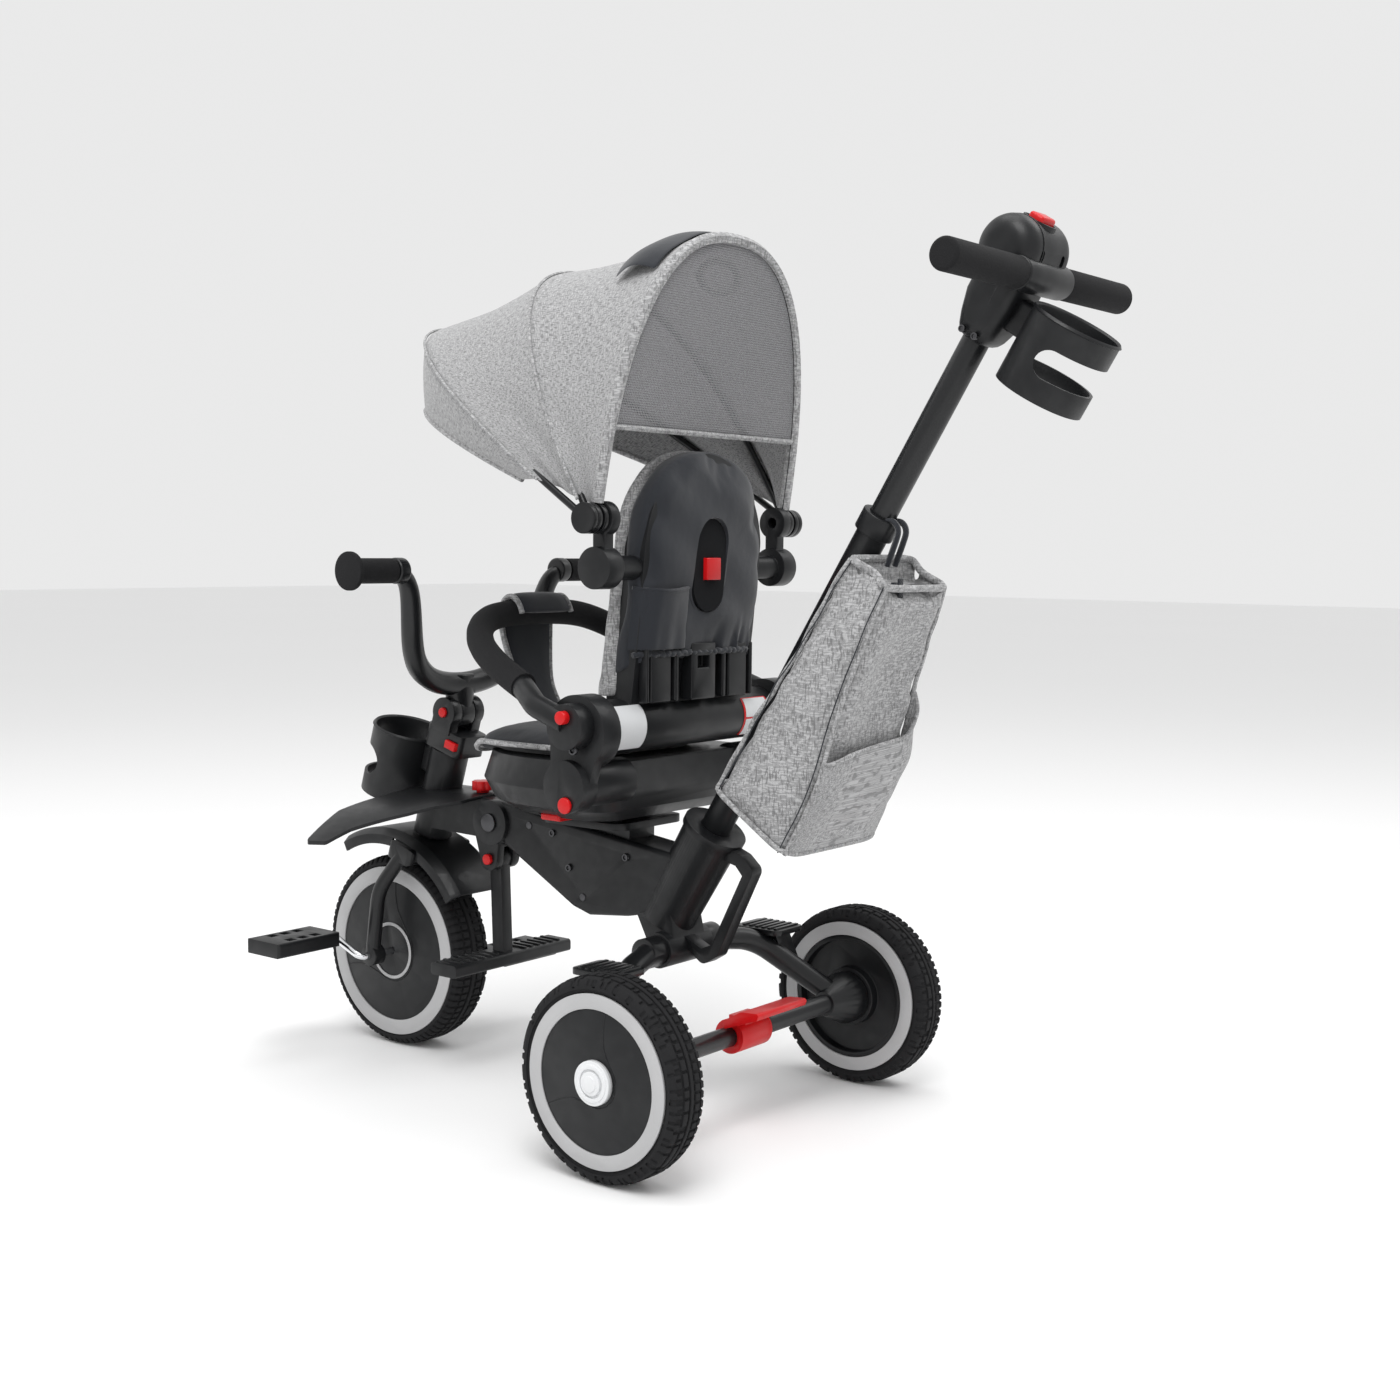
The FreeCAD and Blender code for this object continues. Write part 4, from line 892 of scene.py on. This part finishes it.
class TRIKE_OT_back(bpy.types.Operator):
    """The back's padded liner, its cover with a gathered hem, pocket, opening and edging."""
    bl_idname = "trike.back"
    bl_label = "Back cover"

    def execute(self, context):
        def rear(z):
            return 52 + (741 - z) * 0.068

        def front(z):
            return 97 + (741 - z) * 0.150
        liner = back_pad("back_liner", 111, 743, lambda f: 470, lambda z: (rear(z) + 27, front(z) - 3))
        stuffed(liner, 0.005, 4.0, 0.004)
        finish(liner, "melange pad", 60)
        fit(liner, "backrest", ("back_cover",))
        face = back_pad("back_face", 97, 728, lambda f: 474, lambda z: (front(z) - 12, front(z) + 1))
        stuffed(face, 0.005, 4.0, 0.004)
        finish(face, "nylon", 60)
        fit(face, "backrest", ())
        cover = back_pad("back_cover_cloth", 107, 738, lambda f: 500 - 18 * f,
                         lambda z: (rear(z), rear(z) + 42))
        for v in cover.data.vertices:
            low = 1 - eased((v.co.z - 0.515) * 1000, 0, 46)
            fold = math.sin(v.co.y * 430) * 0.0026 + math.sin(v.co.y * 250 + 1) * 0.0018
            v.co.x += low * fold + 0.0022 * low
            tug = math.sin(v.co.z * 55 + v.co.y * 37) * 0.0016 + math.sin(v.co.y * 61 - v.co.z * 90) * 0.0009
            v.co.x += (tug - 0.0032) * (1 - low)
        stuffed(cover, 0.004, 3.0, 0.003)
        hole = opening("hole", 0.028, 0.05, 52)
        outwards(hole)
        cut_by(cover, hole)
        finish(cover, "nylon", 50)
        fit(cover, "backrest", ("back_cover",))

        ring = []
        for i in range(24):
            t = math.tau * i / 24
            y, z = 29.5 * math.cos(t), 29.5 * math.sin(t)
            z += 34 if z > 0 else -14
            ring.append(at(rear(604 + z) - 3, -2 + y + (4 if z < 0 else 0), 604 + z))
        edge = tube("opening_edge", ring, 0.0026, "backrest", "nylon", closed=True, order=3)
        hem_line = [at(rear(520) - 1.5 + 14 * (abs(y) / 106) ** 5 + 0.8 * math.sin(y * 0.7), y,
                       519 - 1.0 * math.sin(y * 0.5))
                    for y in range(-104, 105, 4)]
        hem = tube("gathered_hem", hem_line, 0.0034, "backrest", "nylon", order=3)

        def pocket(u, v):
            y = 34 + 74 * u
            z = 524 + 66 * v
            puff = (7 * math.sin(math.pi * u) + 2) * (0.35 + 0.65 * v) + 0.8 * math.sin(17 * u) * (1 - v)
            wrap = 17 * eased(y, 84, 110)
            return at(rear(z) - 1.5 - puff + wrap, y, z + 3 * math.sin(math.pi * u) * v * -1)
        pocket_flat = (0.088, 0.068)
        bag = cloth("back_pocket", 26, 20, pocket, pocket_flat, 0.0016, "nylon")
        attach(bag, "backrest")
        brim = tube("pocket_brim", [pocket(i / 14, 1.0) for i in range(15)], 0.0024, "backrest", "nylon",
                    order=3)
        return {"FINISHED"}


class TRIKE_OT_seat(bpy.types.Operator):
    """The seat's pad with its leg flaps, and the pad between the legs."""
    bl_idname = "trike.seat"
    bl_label = "Seat pads"

    def execute(self, context):
        low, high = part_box("seat_cushion")
        centre, half = (low + high) / 2, (high - low) / 2

        def outline(turn, share=1.0):
            a = turn * math.tau
            x = math.copysign(abs(math.cos(a)) ** 0.55, math.cos(a))
            y = math.copysign(abs(math.sin(a)) ** 0.55, math.sin(a))
            notch = 0.16 * math.exp(-(y / 0.28) ** 2) * (x > 0.3)
            return centre + Vector((x * (half.x + 0.010) * (share - notch * share), y * half.y * share, 0))

        def place(turn, level):
            share = math.sin(math.pi * level) ** 0.45
            rise = -math.cos(math.pi * level)
            p = outline(turn, share)
            droop = 0.016 * eased(p.x, centre.x + half.x * 0.62, centre.x + half.x * 1.12)
            crown = 0.004 * (1 - share ** 2)
            return Vector((p.x, p.y,
                           low.z + half.z + rise * (half.z - 0.001) + (crown if rise > 0 else 0) - droop))
        pad = shell("seat_pad", 72, 36, place, closed_ends=False)
        stuffed(pad, 0.005, 4.0, 0.005)
        finish(pad, "nylon", 60)
        fit(pad, "seat", ("seat_cushion",))
        line = []
        for i in range(72):
            p = outline(i / 72, 1.005)
            droop = 0.016 * eased(p.x, centre.x + half.x * 0.62, centre.x + half.x * 1.12)
            line.append(Vector((p.x, p.y, low.z + half.z - droop)))
        cord = tube("seat_piping", line, 0.0034, "seat", "melange pad", closed=True, order=3)

        spine = [at(296, 0, 436), at(318, 0, 470), at(330, 0, 520), at(334, 0, 560), at(322, 0, 579),
                 at(305, 0, 574),
                 at(296, 0, 548)]
        path = evenly([a.lerp(b, k / 8) for a, b in zip(spine, spine[1:]) for k in range(9)], 41)
        path = [sum(path[max(0, i - 3):i + 4], Vector()) / len(path[max(0, i - 3):i + 4]) for i in range(41)]

        def strap(turn, level):
            i = round(level * 40)
            a, b = path[max(0, i - 1)], path[min(40, i + 1)]
            ahead = (b - a).normalized()
            normal = Vector((ahead.z, 0, -ahead.x))
            wide = 0.026 + 0.016 * eased(level, 0.1, 0.62)
            swing = turn * math.tau
            y = wide * math.copysign(abs(math.cos(swing)) ** 0.6, math.cos(swing))
            out = 0.0042 * math.sin(swing)
            return path[i] + normal * out + Vector((0, y, 0))
        pad = shell("crotch_pad_cloth", 40, 40, strap)
        settle(pad, "SUBSURF", levels=1, render_levels=1)
        finish(pad, "nylon", 60)
        fit(pad, "bar", ("crotch_pad",))
        for side, label in ((0.0, "left"), (0.5, "right")):
            cord = tube(f"crotch_piping_{label}", [strap(side, i / 40) for i in range(0, 41, 2)], 0.0036,
                        "bar",
                        "melange pad", order=3)
        return {"FINISHED"}


class TRIKE_OT_safety_bar(bpy.types.Operator):
    """The foam sleeve on the safety bar."""
    bl_idname = "trike.safety_bar"
    bl_label = "Safety bar"

    def execute(self, context):
        half = [(172, 172, 484), (206, 162, 495), (262, 142, 514), (297, 116, 536), (313, 84, 551),
                (316, 40, 556)]
        line = [at(*p) for p in half] + [at(x, -y, z) for x, y, z in reversed(half)]
        sleeve = tube("bar_foam", line, 0.0152, "bar", "foam", order=4, sides=24)
        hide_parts("safety_bar")
        return {"FINISHED"}


# ---- bag and push handle -------------------------------------------------------------------------
class TRIKE_OT_bag(bpy.types.Operator):
    """The storage bag: a sagging shell with a folded mouth, a zip, a slanted pocket and corded seams."""
    bl_idname = "trike.bag"
    bl_label = "Bag"

    def execute(self, context):
        foot_front, foot_rear = Vector((-16, 0, 383)), Vector((-106, 0, 322))
        top_front, top_rear = Vector((-164, 0, 624)), Vector((-208, 0, 594))

        def skin(turn, level, grow=0.0):
            """A point of the bag's side: level 0 at its foot, 1 at its mouth."""
            a = turn * math.tau
            deep = math.copysign(abs(math.cos(a)) ** 0.24, math.cos(a))
            wide = math.copysign(abs(math.sin(a)) ** 0.24, math.sin(a))
            front, rear = foot_front.lerp(top_front, level), foot_rear.lerp(top_rear, level)
            half = 86 - 25 * level + 5 * math.sin(math.pi * level)
            point = (front + rear) / 2 + (rear - front) / 2 * deep * (1 + grow / 45)
            point += Vector((0, half + grow, 0)) * wide
            behind, side = eased(deep, 0.2, 0.95), eased(abs(wide), 0.2, 0.95)
            sunk = 15 * math.exp(-((level - 0.66) / 0.2) ** 2 - ((wide + 0.25) / 0.55) ** 2)
            belly = 9 * math.exp(-((level - 0.25) / 0.22) ** 2)
            back = (rear - front).normalized()
            point += back * behind * (belly - sunk)
            tuck = 17 * eased(level, 0.72, 1.0) * (1 - abs(deep)) - 4 * math.sin(math.pi * level)
            point.y -= math.copysign(tuck * side, wide)
            ruck = math.sin(9 * level + 5 * turn * math.tau) * 1.5 + math.sin(31 * level - 4 * a + 1) * 1.1
            return point + (back * deep + Vector((0, wide,
                                                  0))) * ruck * (0.3 + 0.7 * math.sin(math.pi * level))

        def place(turn, level):
            if level <= 0.86:
                return at(*skin(turn, level / 0.86))
            inside = (level - 0.86) / 0.14
            rim, middle_line = skin(turn, 1.0), (top_front + top_rear) / 2
            share = 0.09 + max(0.0, inside - 0.5) * 1.7
            drop = 22 * eased(inside, 0.0, 0.5)
            flat = rim.lerp(Vector((middle_line.x, rim.y, middle_line.z)), share)
            return at(flat.x, flat.y * (1 - 0.05 * eased(inside, 0, 0.3)), flat.z - drop)
        body = shell("bag_cloth", 96, 60, place)
        stuffed(body, 0.005, 1.6, 0.004)
        finish(body, "melange pad", 60)
        fit(body, "chassis", ("bag",))

        def bead(name, points, radius, material="melange pad", closed=False):
            cord = tube(name, points, radius, "chassis", material, closed=closed, order=3)
            return cord
        for i, turn in enumerate([0.125, 0.375, 0.625, 0.875]):
            bead(f"bag_seam_{i + 1}", [at(*skin(turn, k / 16, 1.8)) for k in range(17)], 0.0024)
            # the thin black line beside each seam is painted shadow along the seam's fold
            beside = turn + (0.055 if i in (0, 2) else -0.055)
            bead(f"bag_seam_shadow_line_{i + 1}", [at(*skin(beside, k / 16, 2.6)) for k in range(17)], 0.0007,
                 "webbing")
        bead("bag_foot_seam", [at(*skin(i / 48, 0.012, 2.0)) for i in range(48)], 0.0030, closed=True)
        bead("bag_rim", [at(*skin(i / 48, 1.0, -0.6)) for i in range(48)], 0.0042, closed=True)
        zip_at = (top_front + top_rear) / 2 - Vector((0, 0, 20))
        tape = cloth("zip_tape", 30, 6, lambda u, v: at(zip_at.x + (v - 0.5) * 22, (u - 0.5) * 96,
                                                      zip_at.z + 2.5 + (0.5 - v) * 9 + 2 * math.sin(5 * u)),
                     (0.096, 0.024), 0.0012, "webbing")
        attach(tape, "chassis")
        teeth = bead("zip_teeth", [at(zip_at.x, y, zip_at.z + 4.6 + 2 * math.sin(5 * (y / 96 + 0.5)))
                                   for y in range(-46, 47, 4)],
                     0.0018, "webbing")
        slider = new("cube", "zip_slider", size=1, location=at(zip_at.x, 8, zip_at.z + 7),
                     scale=(0.007, 0.012, 0.004))
        pick(slider, faces=lambda f: f.normal.z > 0.9)
        bpy.ops.mesh.inset(thickness=0.0015)
        drawn_out(0, 0, 0.002)
        done()
        pull = new("cube", "zip_pull", size=1, location=at(zip_at.x - 8, 10, zip_at.z + 2),
                   scale=(0.002, 0.009, 0.026))
        rounded(pull, 0.0008, 2)
        rounded(slider, 0.0007, 2)
        whole = joined("zip_slider", slider, pull)
        finish(whole, "webbing", 40)
        fit(whole, "chassis", ())

        def pocket(u, v):
            turn = 0.122 - 0.244 * u
            top = 0.37 + 0.22 * u ** 1.6
            level = 0.02 + (top - 0.02) * v
            puff = 3 + 15 * math.sin(math.pi * u) * eased(v, 0.1, 1.0)
            return at(*skin(turn, level, puff))
        pocket_flat = (0.160, 0.145)
        patch = cloth("bag_pocket", 40, 24, pocket, pocket_flat, 0.0016)
        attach(patch, "chassis")
        brim = bead("bag_pocket_hem", [pocket(i / 20, 1.0) for i in range(21)], 0.0022)
        strap_line = [at(-176, 0, 616), at(-186, 0, 640), at(-190, 0, 654), at(-180, 0, 664),
                      at(-168, 0, 660)]
        for side in (1, -1):
            bead(f"bag_strap_{side + 2}", [p + Vector((0, side * 0.0075, 0)) for p in strap_line], 0.0032,
                 "webbing")
        return {"FINISHED"}


def leaned(obj, base, lean):
    """A piece made upright at the origin is turned to that lean and put at base."""
    alone(obj)
    obj.matrix_world = Matrix.Translation(base) @ Matrix.Rotation(-lean, 4, "Y")
    bpy.ops.object.transform_apply(location=True, rotation=True, scale=True)
    return obj


def screw(name, place, way, radius, body):
    """A cap screw's head with its round recess."""
    head = new("cylinder", name, vertices=36, radius=radius, depth=radius)
    pick(head, faces=lambda f: f.normal.z > 0.9)
    bpy.ops.mesh.inset(thickness=radius * 0.42)
    drawn_out(0, 0, -radius * 0.5)
    done()
    rounded(head, radius * 0.12, 2, 50)
    alone(head)
    head.matrix_world = Matrix.Translation(place) @ Vector(way).to_track_quat("Z", "Y").to_matrix().to_4x4()
    bpy.ops.object.transform_apply(location=True, rotation=True, scale=True)
    finish(head, "dark steel", 40)
    return fit(head, body)


def cut_by(obj, cutter):
    alone(obj)
    m = obj.modifiers.new("Cut", "BOOLEAN")
    m.object, m.operation, m.solver = cutter, "DIFFERENCE", "EXACT"
    bpy.ops.object.modifier_apply(modifier=m.name)
    bpy.data.objects.remove(cutter)
    return obj


def cup_ring(name, reach, height, window, gone, body, node, base, lean, tall, level):
    """A cup holder: a wall with a lip, cut through by a wide window with a round end."""
    wall = new("cylinder", name, vertices=96, radius=0.0437, depth=height, end_fill_type="NOTHING",
               location=(0, 0, level - height / 2))
    pick(wall, points=lambda co: co.z > level - 1e-5)
    bpy.ops.mesh.extrude_edges_move(TRANSFORM_OT_translate={"value": (0, 0, 0.0015)})
    bpy.ops.transform.resize(value=(1.045, 1.045, 1), center_override=(0, 0, level))
    done()
    outwards(wall)
    settle(wall, "SOLIDIFY", thickness=0.0034, offset=0.0)
    end = new("cylinder", "end", vertices=48, radius=tall / 2, depth=0.12, location=(-0.012, 0, window),
              rotation=(math.pi / 2, 0, 0))
    pick(end, points=lambda co: co.x > -0.012)
    bpy.ops.transform.translate(value=(0.09, 0, 0))
    done()
    alone(end)
    end.matrix_world = Matrix.Rotation(gone, 4, "Z")
    bpy.ops.object.transform_apply(rotation=True)
    cut_by(wall, end)
    wall.location = (reach, 0, 0)
    alone(wall)
    bpy.ops.object.transform_apply(location=True)
    rounded(wall, 0.0006, 2, 45)
    inward = math.copysign(0.0437, -reach)
    arm = new("cube", "arm", size=1, location=(reach + inward * 1.30, 0, level - 0.02),
              scale=(0.032, 0.024, 0.034))
    rounded(arm, 0.004, 3)
    whole = joined(name, wall, arm)
    leaned(whole, base, lean)
    finish(whole, "plastic", 40)
    return fit(whole, body, (node,))


class TRIKE_OT_push_handle(bpy.types.Operator):
    """The push handle's head with its split, vents, panels and screws, its button and both cup holders."""
    bl_idname = "trike.push_handle"
    bl_label = "Push handle"

    def execute(self, context):
        barrel = new("cylinder", "push_head", vertices=72, radius=0.032, depth=0.090,
                     location=(0, 0, HEAD_HIGH),
                     rotation=(math.pi / 2, 0, 0))
        rounded(barrel, 0.019, 8, 50)
        for side in (1, -1):
            vent = new("cylinder", "vent", vertices=32, radius=0.0032, depth=0.03,
                       location=(-0.030, side * 0.020, HEAD_HIGH + 0.004), rotation=(0, math.pi / 2, 0))
            pick(vent, points=lambda co: co.z > HEAD_HIGH + 0.004)
            bpy.ops.transform.translate(value=(0, 0, 0.005))
            done()
            cut_by(barrel, vent)
        neck = new("cube", "neck", size=1, location=(-0.002, 0, HEAD_HIGH - 0.050),
                   scale=(0.056, 0.056, 0.092))
        for level in (-0.074, -0.052, -0.022):
            pick(neck, points=lambda co: True)
            bpy.ops.mesh.bisect(plane_co=(0, 0, HEAD_HIGH + level), plane_no=(0, 0, 1))
            done()
        for level, share in ((-0.096, 0.66), (-0.074, 0.86)):
            pick(neck, points=lambda co: abs(co.z - HEAD_HIGH - level) < 1e-4)
            bpy.ops.transform.resize(value=(share, share, 1), center_override=(0, 0, HEAD_HIGH + level))
            done()
        rounded(neck, 0.012, 5, 50)
        for side in (1, -1):
            panel = new("cube", "panel", size=1, location=(0.002, side * 0.031, HEAD_HIGH - 0.046),
                        scale=(0.022, 0.008, 0.056))
            rounded(panel, 0.003, 3)
            cut_by(neck, panel)
        grip_at = middle("push_grips")
        rod = new("cylinder", "rod", vertices=48, radius=0.0165, depth=0.088, rotation=(math.pi / 2, 0, 0),
                  location=(0, 0, 0))
        rounded(rod, 0.002, 3)
        head = joined("push_head", barrel, neck)
        leaned(head, PUSH_BASE, LEAN)
        rod.location = grip_at
        alone(rod)
        bpy.ops.object.transform_apply(location=True)
        whole = joined("push_head", head, rod)
        finish(whole, "plastic", 38)
        fit(whole, "push_handle", ("push_housing",))
        line = [on_push_bar(32.4 * math.cos(t), 21, 672 + 32.4 * math.sin(t))
                for t in (math.tau * i / 40 for i in range(40))]
        tube("head_split", line, 0.0005, "push_handle", "smooth plastic", closed=True, order=3)
        for side in (1, -1):
            for out, name in ((-9, "rear"), (7, "front")):
                screw(f"head_screw_{name}_{side + 2}", on_push_bar(out, side * 23.5, 584), (0, side, 0),
                      0.0036, "push_handle")
        button = new("cube", "push_button_finished", size=1, location=(-0.001, 0, 0.7035),
                     scale=(0.017, 0.027, 0.012))
        rounded(button, 0.0032, 4)
        leaned(button, PUSH_BASE, LEAN)
        finish(button, "red", 40)
        fit(button, "height_button", ("push_button",))
        collar = new("cylinder", "button_collar", vertices=56, radius=0.0175, depth=0.006,
                     location=(0, 0, 0.7010))
        pick(collar, faces=lambda f: f.normal.z > 0.9)
        bpy.ops.mesh.inset(thickness=0.0024)
        drawn_out(0, 0, -0.003)
        done()
        rounded(collar, 0.0008, 2, 50)
        leaned(collar, PUSH_BASE, LEAN)
        finish(collar, "plastic", 40)
        fit(collar, "push_handle", ())
        cup_ring("rear_cup", REAR_CUP_REACH, 0.074, 0.6015, math.radians(215), "push_handle",
                 "rear_cup_holder",
                 PUSH_BASE, LEAN, 0.028, 0.6385)
        cup_ring("front_cup", FRONT_CUP_REACH, 0.086, 0.2260, math.radians(-40), "front_frame",
                 "front_cup_holder",
                 FRONT_HUB, RAKE, 0.036, 0.2700)
        return {"FINISHED"}


class TRIKE_OT_trimmings(bpy.types.Operator):
    """The handlebar, the hub caps, the ribs of the back, the blank labels and the visible screws."""
    bl_idname = "trike.trimmings"
    bl_label = "Trimmings"

    def execute(self, context):
        half = [(404, 206, 603, 0.0095), (404, 150, 603, 0.0095), (405, 126, 601, 0.0105),
                (409, 112, 575, 0.012),
                (418, 104, 520, 0.013), (432, 84, 488, 0.0135), (440, 52, 470, 0.014), (443, 24, 464, 0.0145)]
        line = half + [(443, 0, 463, 0.0145)] + [(x, -y, z, r) for x, y, z, r in reversed(half)]
        bend = tube("handlebar_bend", [at(x, y, z) for x, y, z, _ in line], 1.0, sides=16,
                    radii=[r for *_, r in line])
        hub = new("cylinder", "hub", vertices=48, radius=0.0186, depth=0.023, location=at(446, 0, 428),
                  rotation=(math.pi / 2, 0, 0))
        rounded(hub, 0.002, 3)
        neck = new("cylinder", "neck", vertices=48, radius=0.0155, depth=0.052, location=at(444, 0, 450))
        pick(neck, points=lambda co: co.z > 0.46)
        bpy.ops.transform.resize(value=(0.95, 1.5, 1), center_override=at(444, 0, 470))
        done()
        rounded(neck, 0.004, 4, 50)
        collars = []
        for side in (1, -1):
            collar = new("cylinder", "collar", vertices=48, radius=0.0152, depth=0.016,
                         location=at(404, side * 137, 603),
                         rotation=(math.pi / 2, 0, 0))
            rounded(collar, 0.003, 4, 50)
            collars.append(collar)
        whole = joined("handlebar_finished", bend, hub, neck, *collars)
        finish(whole, "paint", 50)
        fit(whole, "bars", ("handlebar",))
        for side, label in ((1, "left"), (-1, "right")):
            outer = max(abs(c.y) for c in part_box(f"trim_rear_{label}"))
            cap = new("cylinder", f"{label}_hub_cap", vertices=64, radius=0.0226, depth=0.006,
                      location=REAR_HUB + Vector((0, side * (outer - 0.0028), 0)),
                      rotation=(-side * math.pi / 2, 0, 0))
            for inset, push in ((0.0035, 0.0012), (0.0045, -0.0022), (0.0025, 0.0034), (0.004, 0.0012)):
                pick(cap, faces=lambda f: f.normal.y * side > 0.9 and len(f.vertices) > 20)
                bpy.ops.mesh.inset(thickness=inset)
                drawn_out(0, side * push, 0)
                done()
            rounded(cap, 0.0007, 3, 40)
            finish(cap, "hub cap", 40)
            fit(cap, f"rear_{label}_wheel", ())

        forwards, up = BARREL_AT
        for name, y0, y1, turn0, turn1, radius, material in (
                ("left_blank_label", 134, 88, 232, 128, 30.0, "paper"),
                ("right_label_border", -86, -134, 232, 138, 29.6, "red"),
                ("right_blank_label", -89, -131, 230, 188, 30.0, "paper"),
                ("right_small_label", -89, -131, 184, 141, 30.0, "paper")):
            def place(u, v):
                t = math.radians(turn0 + (turn1 - turn0) * v)
                return at(forwards + radius * math.cos(t), y0 + (y1 - y0) * u, up + radius * math.sin(t))
            size = (abs(y1 - y0) / 1000, 0.0296 * math.radians(abs(turn1 - turn0)))
            patch = cloth(name, 12, 16, place, size, 0.0003, material)
            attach(patch, "backrest")
        post = new("cube", "back_post", size=1, location=at(71, 0, 498), scale=(0.016, 0.042, 0.062))
        pick(post, faces=lambda f: f.normal.x < -0.9)
        bpy.ops.mesh.inset(thickness=0.0125)
        bpy.ops.transform.resize(value=(1, 1.25, 0.36), center_override=at(63, 0, 514))
        drawn_out(0.011, 0, 0)
        done()
        rounded(post, 0.0016, 3, 40)
        finish(post, "plastic", 40)
        fit(post, "backrest", ())
        for side, label in ((1, "left"), (-1, "right")):
            for i, (y, wide, deep) in enumerate(((42, 0.007, 0.011), (68, 0.034, 0.009), (92, 0.005, 0.012))):
                panel = new("cube", f"back_panel_{label}_{i + 1}", size=1, location=at(72, side * y, 497),
                            scale=(deep, wide, 0.060))
                rounded(panel, 0.0022, 4)
                finish(panel, "plastic", 40)
                fit(panel, "backrest", ())
        lining = opening("opening_lining", 0.0265, 0.004, 57.5)
        finish(lining, "lining", 40)
        fit(lining, "backrest", ())
        for name, place, radius, body in (("beam_screw_1", (150, 28.4, 284), 0.0042, "chassis"),
                                          ("beam_screw_2", (236, 28.4, 262), 0.0042, "chassis"),
                                          ("beam_screw_3", (262, 28.4, 300), 0.0042, "chassis"),
                                          ("arm_screw_1", (85, 188.4, 424), 0.0052, "seat")):
            screw(name, at(*place), (0, 1, 0), radius, body)
        return {"FINISHED"}


class TRIKE_OT_stage(bpy.types.Operator):
    """A pale floor, soft lights and the camera."""
    bl_idname = "trike.stage"
    bl_label = "Stage"

    def execute(self, context):
        MATERIALS["floor"] = studio("Studio floor", colours().floor)
        floor = new("plane", "studio_floor", size=40)
        finish(floor, "floor")
        world = bpy.data.worlds.new("Studio")
        world.use_nodes = True
        world.node_tree.nodes["Background"].inputs["Color"].default_value = (1, 1, 1, 1)
        world.node_tree.nodes["Background"].inputs["Strength"].default_value = 0.82
        context.scene.world = world
        centre = at(200, 0, 480)
        for name, turn, rise, far, size, power in (("key", 215, 52, 3.2, 1.6, 52),
                                                   ("fill", 110, 30, 3.4, 2.6, 10),
                                                   ("rim", 330, 50, 3.6, 1.8, 22),
                                                   ("top", 180, 88, 3.0, 2.0, 26)):
            light = bpy.data.lights.new(name, "AREA")
            light.size, light.energy = size, power
            lamp = bpy.data.objects.new(name + "_light", light)
            context.scene.collection.objects.link(lamp)
            a, e = math.radians(turn), math.radians(rise)
            back = Vector((math.sin(a) * math.cos(e), -math.cos(a) * math.cos(e), math.sin(e)))
            lamp.location = centre + back * far
            lamp.rotation_euler = back.to_track_quat("Z", "Y").to_euler()
        lens = bpy.data.cameras.new("camera")
        lens.lens, lens.sensor_width, lens.clip_start = 46.42, 36.0, 0.05
        camera = bpy.data.objects.new("camera", lens)
        context.scene.collection.objects.link(camera)
        yaw, pitch, roll = math.radians(-51.956), math.radians(4.840), math.radians(0.553)
        ahead = Vector((math.cos(yaw) * math.cos(pitch), math.sin(yaw) * math.cos(pitch), -math.sin(pitch)))
        side = ahead.cross(Vector((0, 0, 1))).normalized()
        over = side.cross(ahead)
        right = side * math.cos(roll) + over * math.sin(roll)
        up = over * math.cos(roll) - side * math.sin(roll)
        turned = Matrix((right, up, -ahead)).transposed().to_4x4()
        camera.matrix_world = Matrix.Translation(at(-1155.6, 1563.6, 633.5)) @ turned
        context.scene.camera = camera
        context.scene.view_settings.view_transform = "Standard"
        return {"FINISHED"}


class TRIKE_PT_panel(bpy.types.Panel):
    """The tricycle's sizes, colours and pieces."""
    bl_idname = "TRIKE_PT_panel"
    bl_label = "Tricycle"
    bl_space_type = "VIEW_3D"
    bl_region_type = "UI"
    bl_category = "Tricycle"

    def draw(self, context):
        for group in (colours(), sizes()):
            for name in group.__annotations__:
                self.layout.prop(group, name)
        for piece in PIECES:
            self.layout.operator(piece.bl_idname)


PIECES = [TRIKE_OT_finishes, TRIKE_OT_hard_parts, TRIKE_OT_wheels, TRIKE_OT_canopy, TRIKE_OT_back,
          TRIKE_OT_seat, TRIKE_OT_safety_bar, TRIKE_OT_bag, TRIKE_OT_push_handle, TRIKE_OT_trimmings,
          TRIKE_OT_stage]
CLASSES = [TricycleColours, TricycleSizes, *PIECES, TRIKE_PT_panel]


def register():
    for c in CLASSES:
        bpy.utils.register_class(c)
    bpy.types.Scene.tricycle_colours = bpy.props.PointerProperty(type=TricycleColours)
    bpy.types.Scene.tricycle_sizes = bpy.props.PointerProperty(type=TricycleSizes)


def unregister():
    del bpy.types.Scene.tricycle_colours, bpy.types.Scene.tricycle_sizes
    for c in reversed(CLASSES):
        bpy.utils.unregister_class(c)


def main():
    register()
    for piece in PIECES:
        getattr(bpy.ops.trike, piece.bl_idname.split(".")[1])()


if __name__ == "__main__":
    main()
